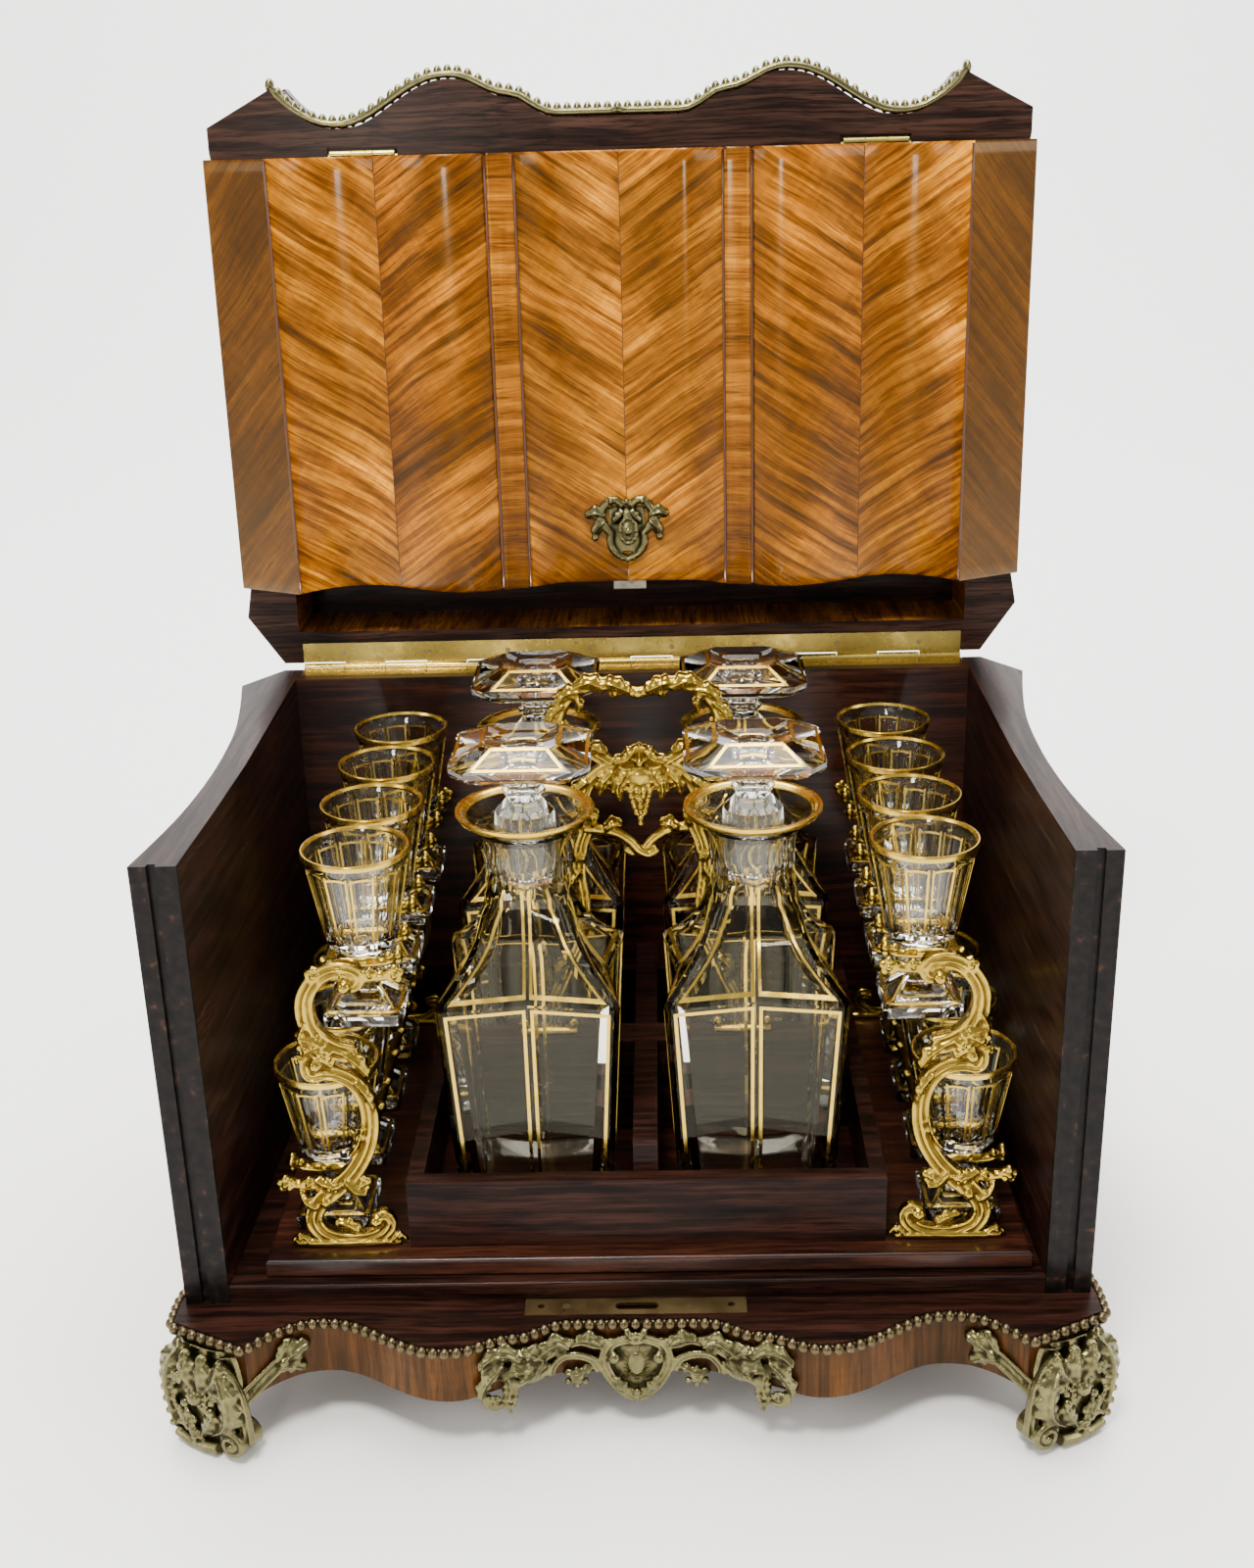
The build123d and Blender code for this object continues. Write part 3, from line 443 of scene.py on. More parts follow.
def wood(name, dark, mid, light, angle=0.0, coords="UV", along=1.0, seed=0.0,
         gloss=0.12, coat=0.45, figure_and_sheen=0.5, streak=0.62, turn=(0, 0, 0),
         fine=1.0, spec=0.25, bold=0.5, tint=None):
    """Polished wood; tint gives the warm sheen of figured veneer, and the figure strength
    also sets its painted highlight patches.
    """
    m, nt, bs = new_mat(name)
    tc = node(nt, "TexCoord")
    uv = coords == "UV"
    col, pores, band = grain(
        nt, tc.outputs["UV" if uv else "Object"], dark, mid, light,
        (0, 0, angle) if uv else (turn[0], turn[1], turn[2] + angle), seed,
        figure_and_sheen > 0, streak, figure_and_sheen, bold)
    wood_bsdf(nt, bs, col, pores, band, gloss, coat, spec)
    if tint:
        bs.inputs["Specular Tint"].default_value = (*tint, 1)
    return m


SHEEN = dict(tint=(1.0, 0.58, 0.14), spec=0.52, coat=0.2, gloss=0.11)


def calc(nt, op, a, b=0.0):
    m = node(nt, "Math", operation=op)
    for sock, v in ((m.inputs[0], a), (m.inputs[1], b)):
        if hasattr(v, "links"):
            nt.links.new(v, sock)
        else:
            sock.default_value = v
    return m.outputs[0]


def cased(name, inner, outer, faces, seed=0.0, turn_in=(0, pi / 2, 0),
          turn_out=(0, pi / 2, 0), front_black=False, gloss=0.12):
    """Dark wood, with the outer faces veneered.  faces lists (axis, sign)."""
    m, nt, bs = new_mat(name)
    tc = node(nt, "TexCoord")
    ob = tc.outputs["Object"]
    c1, p1, b1 = grain(nt, ob, *inner, turn_in, seed, False, 0.8)
    # the veneered outer faces also get painted highlight patches (strength 0.4)
    c2, p2, b2 = grain(nt, ob, *outer, turn_out, seed + 3, True, 0.8, 0.4)
    sn = node(nt, "SeparateXYZ")
    nt.links.new(tc.outputs["Normal"], sn.inputs[0])
    mask = None
    for axis, sign in faces:
        f = calc(nt, "GREATER_THAN", calc(nt, "MULTIPLY", sn.outputs[axis],
                                          float(sign)), 0.55)
        mask = f if mask is None else calc(nt, "MAXIMUM", mask, f)
    col = mix(nt, "MIX", mask, c1, c2)
    if front_black:
        so = node(nt, "SeparateXYZ")
        nt.links.new(ob, so.inputs[0])
        f = calc(nt, "LESS_THAN", so.outputs[1], (F + 2.2) * MM)
        worn = node(nt, "TexNoise")
        worn.inputs["Scale"].default_value = 240
        worn.inputs["Detail"].default_value = 5
        nt.links.new(ob, worn.inputs["Vector"])
        blk = ramp(nt, worn.outputs["Fac"],
                   [(0.40, (0.0035, 0.003, 0.003)), (0.62, (0.010, 0.007, 0.006)),
                    (0.72, (0.05, 0.022, 0.013))])
        col = mix(nt, "MIX", f, col, blk)
    wood_bsdf(nt, bs, col, p1, b1, gloss, 0.06, 0.08)
    return m


def metal(name, base, dark, rough=0.2, patina_and_shade=0.5, recess=True, scale=160,
          bumps=0.15):
    m, nt, bs = new_mat(name)
    tc = node(nt, "TexCoord")
    n = node(nt, "TexNoise")
    n.inputs["Scale"].default_value = scale
    n.inputs["Detail"].default_value = 6
    n.inputs["Roughness"].default_value = 0.65
    nt.links.new(tc.outputs["Object"], n.inputs["Vector"])
    f = ramp(nt, n.outputs["Fac"], [(0.35, (0, 0, 0)), (0.7, (1, 1, 1))])
    col = mix(nt, "MIX", f, tuple(c * (1 - patina_and_shade * 0.45) for c in base), base)
    rgh = ramp(nt, n.outputs["Fac"], [(0.3, (rough * 1.7,) * 3), (0.7, (rough * 0.8,) * 3)])
    # painted shade: points deep in a casting's recesses are mixed towards the dark colour,
    # standing in for the shade in its hollows; the same strength sets this painted shade
    # and the random patchy tone above
    if recess:
        at = node(nt, "Attribute")
        at.attribute_name = "recess"
        rc = ramp(nt, at.outputs["Fac"],
                  [(0.48, (0, 0, 0)), (0.76, (patina_and_shade,) * 3)])
        bw = node(nt, "RGBToBW")
        nt.links.new(rc, bw.inputs[0])
        col = mix(nt, "MIX", bw.outputs[0], col, dark)
        lift = mix(nt, "ADD", 1.0, rgh, rc)
        rg = mix(nt, "MIX", 0.35, rgh, lift)
        nt.links.new(rg, bs.inputs["Roughness"])
    else:
        nt.links.new(rgh, bs.inputs["Roughness"])
    nt.links.new(col, bs.inputs["Base Color"])
    bs.inputs["Metallic"].default_value = 1.0
    bump(nt, bs, n.outputs["Fac"], bumps, 0.0003)
    return m


def crystal(name, tint=(0.97, 0.99, 0.985), rough=0.0, ior=1.52, spec=0.5,
            sheen=(1.0, 1.0, 1.0)):
    m, nt, bs = new_mat(name)
    bs.inputs["Base Color"].default_value = (*tint, 1)
    bs.inputs["Roughness"].default_value = rough
    bs.inputs["IOR"].default_value = ior
    bs.inputs["Specular IOR Level"].default_value = spec
    bs.inputs["Specular Tint"].default_value = (*sheen, 1)
    bs.inputs["Transmission Weight"].default_value = 1.0
    tc = node(nt, "TexCoord")
    n = node(nt, "TexNoise")
    n.inputs["Scale"].default_value = 70
    n.inputs["Detail"].default_value = 2
    nt.links.new(tc.outputs["Object"], n.inputs["Vector"])
    bump(nt, bs, n.outputs["Fac"], 0.02, 0.0006)
    return m


KD, KM, KL = (0.030, 0.007, 0.0005), (0.190, 0.052, 0.0012), (0.42, 0.150, 0.0030)
GR = radians(31)
# OM, OL: a lighter copy of the kingwood for the outer half of each bay, painted light where
# the curved panel catches the lamp
OM, OL = (0.215, 0.060, 0.0014), (0.50, 0.185, 0.0040)
v_left = wood("kingwood_falling", KD, OM, OL, GR, seed=1.3, figure_and_sheen=0.95,
              bold=0.6, **SHEEN)
v_right = wood("kingwood_rising", KD, OM, OL, -GR, seed=4.1, figure_and_sheen=0.95,
               bold=0.6, **SHEEN)
# ID, IM, IL: a darker copy of the kingwood for the inner half of each bay, painted shade
ID, IM, IL = (0.022, 0.005, 0.0004), (0.135, 0.036, 0.0009), (0.33, 0.105, 0.0022)
v_left_shaded = wood("kingwood_falling_shaded", ID, IM, IL, GR, seed=21.3,
                 figure_and_sheen=0.8, bold=0.6, **SHEEN)
v_right_shaded = wood("kingwood_rising_shaded", ID, IM, IL, -GR, seed=24.1,
                  figure_and_sheen=0.8, bold=0.6, **SHEEN)
v_left2 = wood("kingwood_falling_b", KD, KM, KL, GR * 1.05, seed=7.7,
               figure_and_sheen=0.8, bold=0.55, **SHEEN)
v_right2 = wood("kingwood_rising_b", KD, KM, KL, -GR * 1.05, seed=9.2,
                figure_and_sheen=0.8, bold=0.55, **SHEEN)
FD, FM, FL = (0.024, 0.007, 0.0008), (0.066, 0.0205, 0.0018), (0.110, 0.037, 0.0032)
v_face_l = wood("kingwood_facet_rising", FD, FM, FL, -GR * 1.5, seed=11,
                figure_and_sheen=0.2, streak=0.55, bold=0.1, **SHEEN)
v_face_r = wood("kingwood_facet_falling", FD, FM, FL, GR * 1.5, seed=13,
                figure_and_sheen=0.2, streak=0.55, bold=0.1, **SHEEN)
v_cross = wood("kingwood_crossband", (0.07, 0.018, 0.002), (0.24, 0.070, 0.004),
               (0.40, 0.140, 0.0065), 0.0, seed=15, figure_and_sheen=0.3, bold=0.2, **SHEEN)
v_frieze = wood("kingwood_frieze", (0.016, 0.0050, 0.0008), (0.044, 0.0135, 0.0017),
                (0.082, 0.0265, 0.0030), 0, "Object", seed=17, figure_and_sheen=0.15,
                spec=0.3, tint=(1.0, 0.7, 0.35),
                streak=0.6, bold=0.12,
                turn=(0, pi / 2, 0), gloss=0.2, coat=0.06)
RD, RM, RL = (0.0030, 0.0016, 0.0012), (0.0100, 0.0042, 0.0030), (0.031, 0.0112, 0.0074)
rose = wood("dark_rosewood_along_x", RD, RM, RL, 0, "Object", seed=2,
            gloss=0.13, figure_and_sheen=0.0, coat=0.04, spec=0.06)
rose_v = wood("dark_rosewood_upright", RD, RM, RL, 0, "Object", seed=5,
              turn=(0, pi / 2, 0), figure_and_sheen=0.0)
rose_y = wood("dark_rosewood_along_y", RD, RM, RL, 0, "Object", seed=6,
              turn=(0, 0, pi / 2), figure_and_sheen=0.0)
rose_red = wood("dark_rosewood_reddish", (0.005, 0.0020, 0.0016),
                (0.020, 0.0060, 0.0036), (0.050, 0.015, 0.0075), 0, "Object",
                seed=8, figure_and_sheen=0.0, coat=0.2, spec=0.18)
KING = (KD, (0.18, 0.058, 0.009), (0.30, 0.105, 0.016))
ROSE = (RD, RM, RL)
wall_l = cased("side_wall_left_wood", ROSE, KING, ((0, -1),), 31.0,
               (0, 0, pi / 2), (radians(35), 0, pi / 2), True)
wall_r = cased("side_wall_right_wood", ROSE, KING, ((0, 1),), 37.0,
               (0, 0, pi / 2), (radians(-35), 0, pi / 2), True)
lid_m = cased("lid_frame_wood", ((0.008, 0.004, 0.003), (0.022, 0.010, 0.007),
                                 (0.055, 0.025, 0.016)), KING,
              ((0, 1), (0, -1), (2, 1)), 41.0, (0, 0, 0),
              (0, 0, pi / 2), gloss=0.2)
lid_top_m = cased("lid_top_wood", ROSE, KING, ((1, 1),), 43.0, (0, 0, 0),
                  (0, radians(-28), 0))
back_m = wood("back_wood", (0.003, 0.0012, 0.001), (0.015, 0.0042, 0.0024),
              (0.046, 0.0125, 0.006), 0, "Object", seed=28, figure_and_sheen=0.0,
              coat=0.15, spec=0.15)
gold = metal("polished_gilt", (0.52, 0.355, 0.052), (0.075, 0.036, 0.005), 0.16,
             0.85)
gold_line = metal("gilt_line_on_glass", (0.70, 0.475, 0.075), (0.3, 0.2, 0.1),
                  0.2, 0.25, recess=False)
bronze = metal("aged_gilt_bronze", (0.205, 0.184, 0.082), (0.020, 0.016, 0.008),
               0.22, 0.9, scale=120, bumps=0.25)
bead_m = metal("bead_bronze", (0.13, 0.098, 0.050), (0.05, 0.03, 0.02), 0.26,
               0.75, recess=False, scale=300)
hinge_m = metal("hinge_brass", (0.56, 0.42, 0.105), (0.2, 0.14, 0.05), 0.22,
                0.6, recess=False, scale=90)
strike_m = metal("strike_plate_brass", (0.34, 0.24, 0.10), (0.2, 0.14, 0.05),
                 0.3, 0.9, recess=False, scale=70)
screw_m = metal("screw_brass", (0.40, 0.31, 0.15), (0.1, 0.07, 0.03), 0.3,
                0.6, recess=False)
steel = metal("bolt_steel", (0.46, 0.43, 0.39), (0.1, 0.08, 0.06), 0.38, 0.8,
              recess=False, scale=240, bumps=0.5)
glass = crystal("cut_crystal", (0.99, 0.98, 0.92), 0.0, 1.27, 0.3,
                (1.0, 0.95, 0.76))
glass_cut = crystal("cut_crystal_stopper", (0.99, 0.99, 0.965), 0.0, 1.5)
glass_thin = crystal("blown_crystal", (0.99, 0.99, 0.965), 0.0, 1.42, 0.4)


def done(ob, body, nodes=()):
    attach(ob, body)
    if nodes:
        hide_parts(*nodes)
    return ob


def paint(name, mat):
    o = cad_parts[name]
    o.data.materials.clear()
    o.data.materials.append(mat)


# ------------------------------------------------------------- front panel
def panel_front():
    """The serpentine face, in zones of veneer, with a rounded top edge."""
    k = (139.5 - 1.1) / 139.5
    corner = 139.5 * k
    ht, hb = -0.6, -174.3
    # outer halves of the bays take the lighter kingwood copy and inner halves the darker
    # one: painted light and shade across each bay
    zones = [(-165.0, -corner, v_face_l), (-corner, -97.0, v_left),
             (-97.0, -52.0, v_right_shaded), (-52.0, -41.2, v_cross),
             (-41.2, 0.0, v_left2), (0.0, 41.2, v_right2),
             (41.2, 52.0, v_cross), (52.0, 97.0, v_left_shaded),
             (97.0, corner, v_right), (corner, 165.0, v_face_r)]
    mats = [z[2] for z in zones]
    dark = wood("dark_stringing", (0.02, 0.008, 0.004), (0.06, 0.02, 0.008),
                (0.1, 0.035, 0.012), pi / 2, seed=21, figure_and_sheen=0)
    mats.append(dark)
    mats.append(rose_v)

    def depth(x):
        if abs(x) > corner:
            s = (abs(x) - corner) / (165.0 - corner)
            return serp(139.5) + 14.0 * s + 0.3
        d = serp(x / k) + 0.3
        if 41.2 <= abs(x) <= 52.0:
            d -= 1.1 * min(1.0, min(abs(x) - 41.2, 52.0 - abs(x)) / 0.35)
        return d

    verts, uvs, faces, mi = [], [], [], []
    rows = [ht - r for r in (0, 0.4, 1.2)]
    rows += [ht - 1.2 - (ht - hb - 2.4) * i / 40 for i in range(1, 41)]
    rows += [hb + 0.4, hb]

    def ease(h):
        t = min(ht - h, h - hb)
        return 0.0 if t >= 1.2 else (1.2 - t) * 0.45

    for zi, (x0, x1, _) in enumerate(zones):
        n = max(4, int((x1 - x0) / 1.6))
        xs = [x0 + (x1 - x0) * i / n for i in range(n + 1)]
        if zi in (3, 6):
            xs = sorted(xs + [x0 + 0.35, x1 - 0.35])
        base = len(verts)
        arc = [0.0]
        for a, b in zip(xs, xs[1:]):
            arc.append(arc[-1] + hypot(b - a, depth(b) - depth(a)))
        for x, s in zip(xs, arc):
            for h in rows:
                verts.append(PP(x, depth(x) + ease(h), h))
                uvs.append(((s if x1 > x0 else s) * MM, h * MM))
        nr = len(rows)
        for i in range(len(xs) - 1):
            for j in range(nr - 1):
                a = base + i * nr + j
                faces.append((a, a + 1, a + nr + 1, a + nr))
                mi.append(zi)
    ob = mesh("front_panel_veneer", verts, faces, mats, True, uvs, mi)
    # dark lines where the veneers meet
    bag = Bag()
    for x in (-corner + 0.5, corner - 0.5, -97.0, 97.0, 0.0, -52.2, -41.0,
              41.0, 52.2):
        w = 0.32 if abs(x) in (97.0, 0.0) else 0.55
        if abs(x) in (97.0, 0.0):
            w = 0.14
        d0 = min(depth(x - w), depth(x + w), depth(x))
        pts = [(x, d0 + 0.10 - 0.16, ht - 0.9 - (ht - hb - 1.8) * i / 10)
               for i in range(11)]
        bag.tube(lambda a, b, c: PP(a, b, c), pts, w, 6, flat=0.25)
    ln = bag.out("front_panel_stringing", [dark])
    # the sides, back and edges
    core = Bag()
    prof = [(-165.0, -2.2)]
    xs = [(-165.0 + 330.0 * i / 160) for i in range(161)]
    outer = [(x, depth(x) + 0.5) for x in xs]
    ring = outer + [(165.0, -2.2), (-165.0, -2.2)]
    n = len(ring)
    top = [PP(x, d, ht) for x, d in ring]
    bot = [PP(x, d, hb) for x, d in ring]
    fs = [(i, (i + 1) % n, n + (i + 1) % n, n + i) for i in range(160, n)]
    m = len(outer)
    # end caps as strips between the face and the inner plane
    inn = [(x, -2.2) for x in xs]
    v0 = len(top) + len(bot)
    allv = top + bot + [PP(x, d, ht) for x, d in inn] + [PP(x, d, hb) for x, d in inn]
    for i in range(m - 1):
        fs.append((i, v0 + i, v0 + i + 1, i + 1))
        fs.append((n + i, n + i + 1, v0 + m + i + 1, v0 + m + i))
    core.add(allv, fs)
    # inner face as a grid with a hole for the lock's case
    gx = sorted(set([-165.0, -120, -60, -23.0, 23.0, 60, 120, 165.0]))
    gh = [ht, -60, -110, hb + 32.0, hb]
    vs = [PP(x, -2.2, h) for x in gx for h in gh]
    fs = []
    for i in range(len(gx) - 1):
        for j in range(len(gh) - 1):
            if gx[i] == -23.0 and j == len(gh) - 2:
                continue
            a = i * len(gh) + j
            fs.append((a, a + len(gh), a + len(gh) + 1, a + 1))
    core.add(vs, fs)
    cr = core.out("front_panel_core", [rose], smooth=False)
    return ob, ln, cr


pf, pl, pc = panel_front()
done(pf, "panel", ["front_panel"])
done(pl, "panel", ["front_panel"])
done(pc, "panel", ["front_panel"])


# ------------------------------------------------- beads and gadroons
def plan_path(step, off=0.0, x_end=168.5, y_end=206.0):
    """Evenly spaced points round the front and the sides of the plinth."""
    half = [(x, serp(x) + off * 0) for x in np.linspace(0, 139.5, 120)]
    half += [(139.5 + (168.2 - 139.5) * s, -25.7 + 14.1 * s)
             for s in np.linspace(0.05, 1, 14)]
    half += [(side_x(y) + 4.0 if y > 0 else 168.6, y)
             for y in np.linspace(-9, 190, 80)]
    out, acc = [half[0]], 0.0
    for a, b in zip(half, half[1:]):
        seg = hypot(b[0] - a[0], b[1] - a[1])
        while acc + seg >= step:
            t = (step - acc) / seg
            a = (a[0] + (b[0] - a[0]) * t, a[1] + (b[1] - a[1]) * t)
            out.append(a)
            seg = hypot(b[0] - a[0], b[1] - a[1])
            acc = 0.0
        acc += seg
    return out


bag = Bag()
pts = plan_path(4.15)
for sx in (-1, 1):
    for x, y in (pts if sx > 0 else pts[1:]):
        bag.sphere(P, (sx * x, y + 0.7, -2.1), 2.12, 14, 10)
    path = [(sx * x, y + 1.6, -2.1) for x, y in pts]
    bag.tube(P, path, 1.25, 6)
done(bag.out("bead_row", [bead_m]), "case", ["bead_moulding"])

# gadroons lean along the lid's lower edge
bag = Bag()
gp = []
half = [(x * (139.5 + 0.3) / 139.5, serp(x)) for x in np.linspace(0, 139.5, 140)]
acc = 0.0
gp = [half[0]]
for a, b in zip(half, half[1:]):
    acc += hypot(b[0] - a[0], b[1] - a[1])
    if acc > 3.55:
        gp.append(b)
        acc = 0.0
for sx in (-1, 1):
    for i, (x, y) in enumerate(gp[1:] if sx < 0 else gp):
        j = min(i + 1, len(gp) - 1)
        bag.sphere(LP, (sx * x, y - 0.5, 175.3 + 3.4), 1.0, 12, 8,
                   (1.85, 2.9, 3.3))
    bag.tube(LP, [(sx * x, y + 0.4, 175.3 + 1.2) for x, y in gp], 1.5, 8)
    bag.tube(LP, [(sx * x, y + 0.4, 175.3 + 6.0) for x, y in gp], 1.2, 8)
done(bag.out("gadroon_lobes", [bronze]), "lid", ["gadroon_border"])

# ------------------------------------------------------------ cast ornament
def flower(bag, T, c, r, petals=5, tilt=0.0, out=-1.0):
    """A small blossom facing local -y."""
    c = Vector(c)
    for k in range(petals):
        a = 2 * pi * k / petals + tilt
        q = c + Vector((cos(a) * r * 0.62, 0, sin(a) * r * 0.62))
        bag.sphere(T, q, r * 0.46, 9, 7, (1, 0.75, 1))
    bag.sphere(T, c + Vector((0, out * r * 0.32, 0)), r * 0.34, 8, 6)


def grapes(bag, T, c, w, h, r, seed=1, out=-1.0):
    rnd = random.Random(seed)
    c = Vector(c)
    rows = max(3, int(h / (r * 1.25)))
    for i in range(rows):
        s = i / (rows - 1)
        ww = w * (1 - s) ** 0.8
        k = max(1, int(ww * 2 / (r * 1.5)) + 1)
        for j in range(k):
            u = 0 if k == 1 else (j / (k - 1) * 2 - 1)
            bag.sphere(T, c + Vector((u * ww, out * (1 - abs(u)) * r * 0.9
                                      + rnd.uniform(-.2, .2),
                                      -s * h + rnd.uniform(-.25, .25) * r)),
                       r * rnd.uniform(0.88, 1.1), 9, 7)


def scroll(bag, T, pts, r0, r1, y=0.0, ridge=True, n=6, flat=0.8, seg=12,
           both=False):
    """A fluted scroll through (x, z) points."""
    c = catmull([(p[0], y, p[1]) for p in pts], n)
    k = len(c)
    rad = [r0 + (r1 - r0) * i / (k - 1) for i in range(k)]
    bag.tube(T, c, rad, seg, flat=flat * (0.62 if ridge else 1.0))
    if ridge:
        sides = ((-1,), (1,)) if both else ((-1,),)
        for (sd,) in sides:
            for off, lift, rr in ((-0.74, 0.52, 0.26), (0.74, 0.52, 0.26),
                                  (0.0, 0.66, 0.24)):
                q = []
                for i, p in enumerate(c):
                    a, b = c[max(i - 1, 0)], c[min(i + 1, k - 1)]
                    dx, dz = b[0] - a[0], b[2] - a[2]
                    L = hypot(dx, dz) or 1
                    q.append((p[0] - dz / L * rad[i] * off,
                              p[1] + sd * rad[i] * lift * flat,
                              p[2] + dx / L * rad[i] * off))
                bag.tube(T, q, [max(0.45, v * rr) for v in rad], 7)
    return c


def volute(bag, T, cx, cz, r, a0, turns, w0, w1, y=0.0, flat=1.2, n=30):
    p = spiral(cx, cz, r, r * 0.22, a0, turns, n)
    c = [(x, y - 0.9 * i / n, z) for i, (x, z) in enumerate(p)]
    rad = [w0 + (w1 - w0) * i / (n - 1) for i in range(n)]
    bag.tube(T, c, rad, 10, flat=flat)
    bag.sphere(T, (cx, y - 1.6, cz), max(w1 * 1.25, 1.0), 10, 8)
    return c


# -- feet
def foot(name, cx, cy, nx, ny, sx, front=True):
    # u runs along the cant towards the middle of the front (or of the back)
    tx, ty = (-sx * abs(ny), -abs(nx)) if front else (-sx * abs(ny), abs(nx))

    def T(a, b, c):
        return P(cx + tx * a - nx * b, cy + ty * a - ny * b, c)

    bag = Bag()
    # body of the leg behind the ornament
    bag.tube(T, [(-3, 2.2, -5.5), (-3, 0.6, -14), (-3, -0.6, -24),
                 (-2, -1.2, -34), (-1, -1.6, -42.0)],
             [10.5, 12.4, 12.8, 12.4, 11.0], 16, flat=0.36)
    bag.tube(T, [(3, 2.0, -8), (5, 0.6, -17), (6.5, -0.6, -27), (7, -1.0, -36)],
             [9, 9.5, 8.5, 7], 14, flat=0.42)
    # sole
    bag.tube(T, [(-13.5, -4.0, -42.4), (-7, -5.0, -43.4), (0, -5.4, -43.2),
                 (6, -5, -42.6)], [2.5, 2.6, 2.8, 3.0], 10, flat=1.5)
    # large volute of the toe
    bag.tube(T, [(12.4, 3.5, -38.6), (12.4, -7.4, -38.6)], [5.9, 5.3], 20,
             up=(1, 0, 0))
    volute(bag, T, 12.4, -38.6, 5.6, radians(110), -1.7, 1.15, 0.8, -7.0, 1.3,
           34)
    # broad serrated acanthus sweeping down into it
    scroll(bag, T, [(6.5, -7.0), (11.5, -10.0), (15.4, -16.5), (17.0, -24.5),
                    (17.4, -32.0), (17.6, -38.0)], 1.8, 2.6, -3.6, flat=1.2)
    bag.leaf(T, [(8.5, -5.6, -9.5), (12.0, -7.4, -17), (13.0, -7.8, -25),
                 (10.5, -7.6, -31.5), (5.0, -7.4, -35.5)], 5.6, 1.5, lobes=6,
             cup=1.3, depth=0.3)
    bag.leaf(T, [(6.5, -7.4, -27), (3.2, -8.0, -33), (-0.5, -7.4, -38.5)], 4.0,
             1.3, lobes=4, cup=1.0, depth=0.3)
    # ruffled shell at the outer edge
    bag.leaf(T, [(-8.5, -4.0, -3.5), (-13.5, -5.0, -11), (-16.0, -5.0, -20),
                 (-15.4, -5.0, -30), (-12.5, -5.4, -40.5)], 5.4, 1.7, lobes=7,
             cup=1.4, depth=0.28)
    for k in range(7):
        a = k / 6
        bag.tube(T, [(-11.0 - 1.5 * sin(pi * a), -6.2, -7 - 30 * a),
                     (-16.5 - 2.2 * sin(pi * a), -5.4, -9 - 31 * a)],
                 [0.8, 1.5], 8)
    # upper leaves
    bag.leaf(T, [(-1.5, -6.0, -19), (-5.0, -7.4, -12), (-6.5, -5.4, -3.8)],
             5.0, 1.5, lobes=4, cup=1.0, depth=0.3)
    bag.leaf(T, [(0.6, -6.2, -19), (2.0, -7.6, -12), (1.2, -5.6, -3.6)], 5.0,
             1.5, lobes=4, cup=1.0, depth=0.3)
    bag.leaf(T, [(3.0, -6.0, -18), (7.5, -6.8, -12.5), (9.0, -5.0, -5.6)], 4.2,
             1.4, lobes=3, cup=0.8, depth=0.3)
    # bosses, blossoms, berries
    for k in range(9):
        a = 2 * pi * k / 9
        bag.sphere(T, (-1.5 + 4.3 * cos(a), -6.8, -21.7 + 4.1 * sin(a)), 1.25,
                   8, 6)
    bag.sphere(T, (-1.5, -7.4, -21.7), 3.3, 16, 12)
    bag.sphere(T, (4.8, -7.6, -26.4), 2.1, 12, 9)
    bag.sphere(T, (-7.4, -6.8, -26.6), 1.9, 12, 9)
    flower(bag, T, (-6.6, -7.0, -33.8), 4.1, 5, 0.3)
    flower(bag, T, (-10.4, -6.2, -17.0), 2.8, 5, 0.1)
    flower(bag, T, (6.4, -7.2, -19.6), 2.5, 5, 0.8)
    grapes(bag, T, (-10.0, -6.2, -29.4), 2.6, 6.0, 1.2, 3)
    grapes(bag, T, (-3.6, -7.2, -37.2), 3.6, 5.0, 1.25, 7)
    ob = bag.out(name + "_raw", [bronze])
    # diagonal arm along the frieze
    arm = Bag()
    if front:
        def S(a, b, c):
            x = 139.0 - a
            return P(sx * x, serp(x) + 0.9 + b, c)
    else:
        def S(a, b, c):
            return P(sx * (147.0 - a), 216.0 - b, c)
    for off in (-3.0, 3.0):
        arm.tube(S, [(-2, -1.3, -22.5 + off), (6, -1.5, -17.4 + off),
                     (13, -1.2, -12.8 + off)], 0.95, 8)
    arm.tube(S, [(-3, -0.2, -23.0), (6, -0.2, -17.4), (14, -0.2, -12.4)],
             3.3, 12, flat=0.42)
    for k in range(4):
        a = k / 3
        arm.tube(S, [(1.5 + 9 * a, -1.3, -21.0 + 6.4 * a),
                     (3.2 + 9 * a, -1.3, -19.0 + 6.4 * a)], 0.5, 6)
    arm.leaf(S, [(10, -1.8, -14.0), (15.5, -2.8, -10.6), (21, -1.6, -8.0)],
             5.2, 1.3, lobes=3, cup=0.7, depth=0.35)
    arm.leaf(S, [(10, -1.6, -15.6), (15.0, -2.4, -17.0), (19, -1.4, -20.0)],
             3.6, 1.1, lobes=3, cup=0.5, depth=0.35)
    arm.leaf(S, [(11, -1.6, -11.0), (13.5, -2.2, -7.0), (14.5, -1.2, -4.6)],
             3.2, 1.1, lobes=2, cup=0.5, depth=0.35)
    arm.sphere(S, (12.4, -3.6, -13.4), 1.9, 10, 8)
    arm.sphere(S, (16.2, -2.2, -17.6), 1.2, 8, 6)
    ob2 = arm.out(name + "_arm", [bronze])
    cast(ob, 0.42, 1)
    cast(ob2, 0.38, 1)
    done(ob, "case", [name])
    done(ob2, "case", [name])


for sx, sn in ((-1, "left"), (1, "right")):
    foot("foot_front_" + sn, sx * 153.5, -18.4, sx * 0.442, -0.897, sx, True)
    foot("foot_rear_" + sn, sx * 161.0, 203.2, sx * 0.822, 0.569, sx, False)


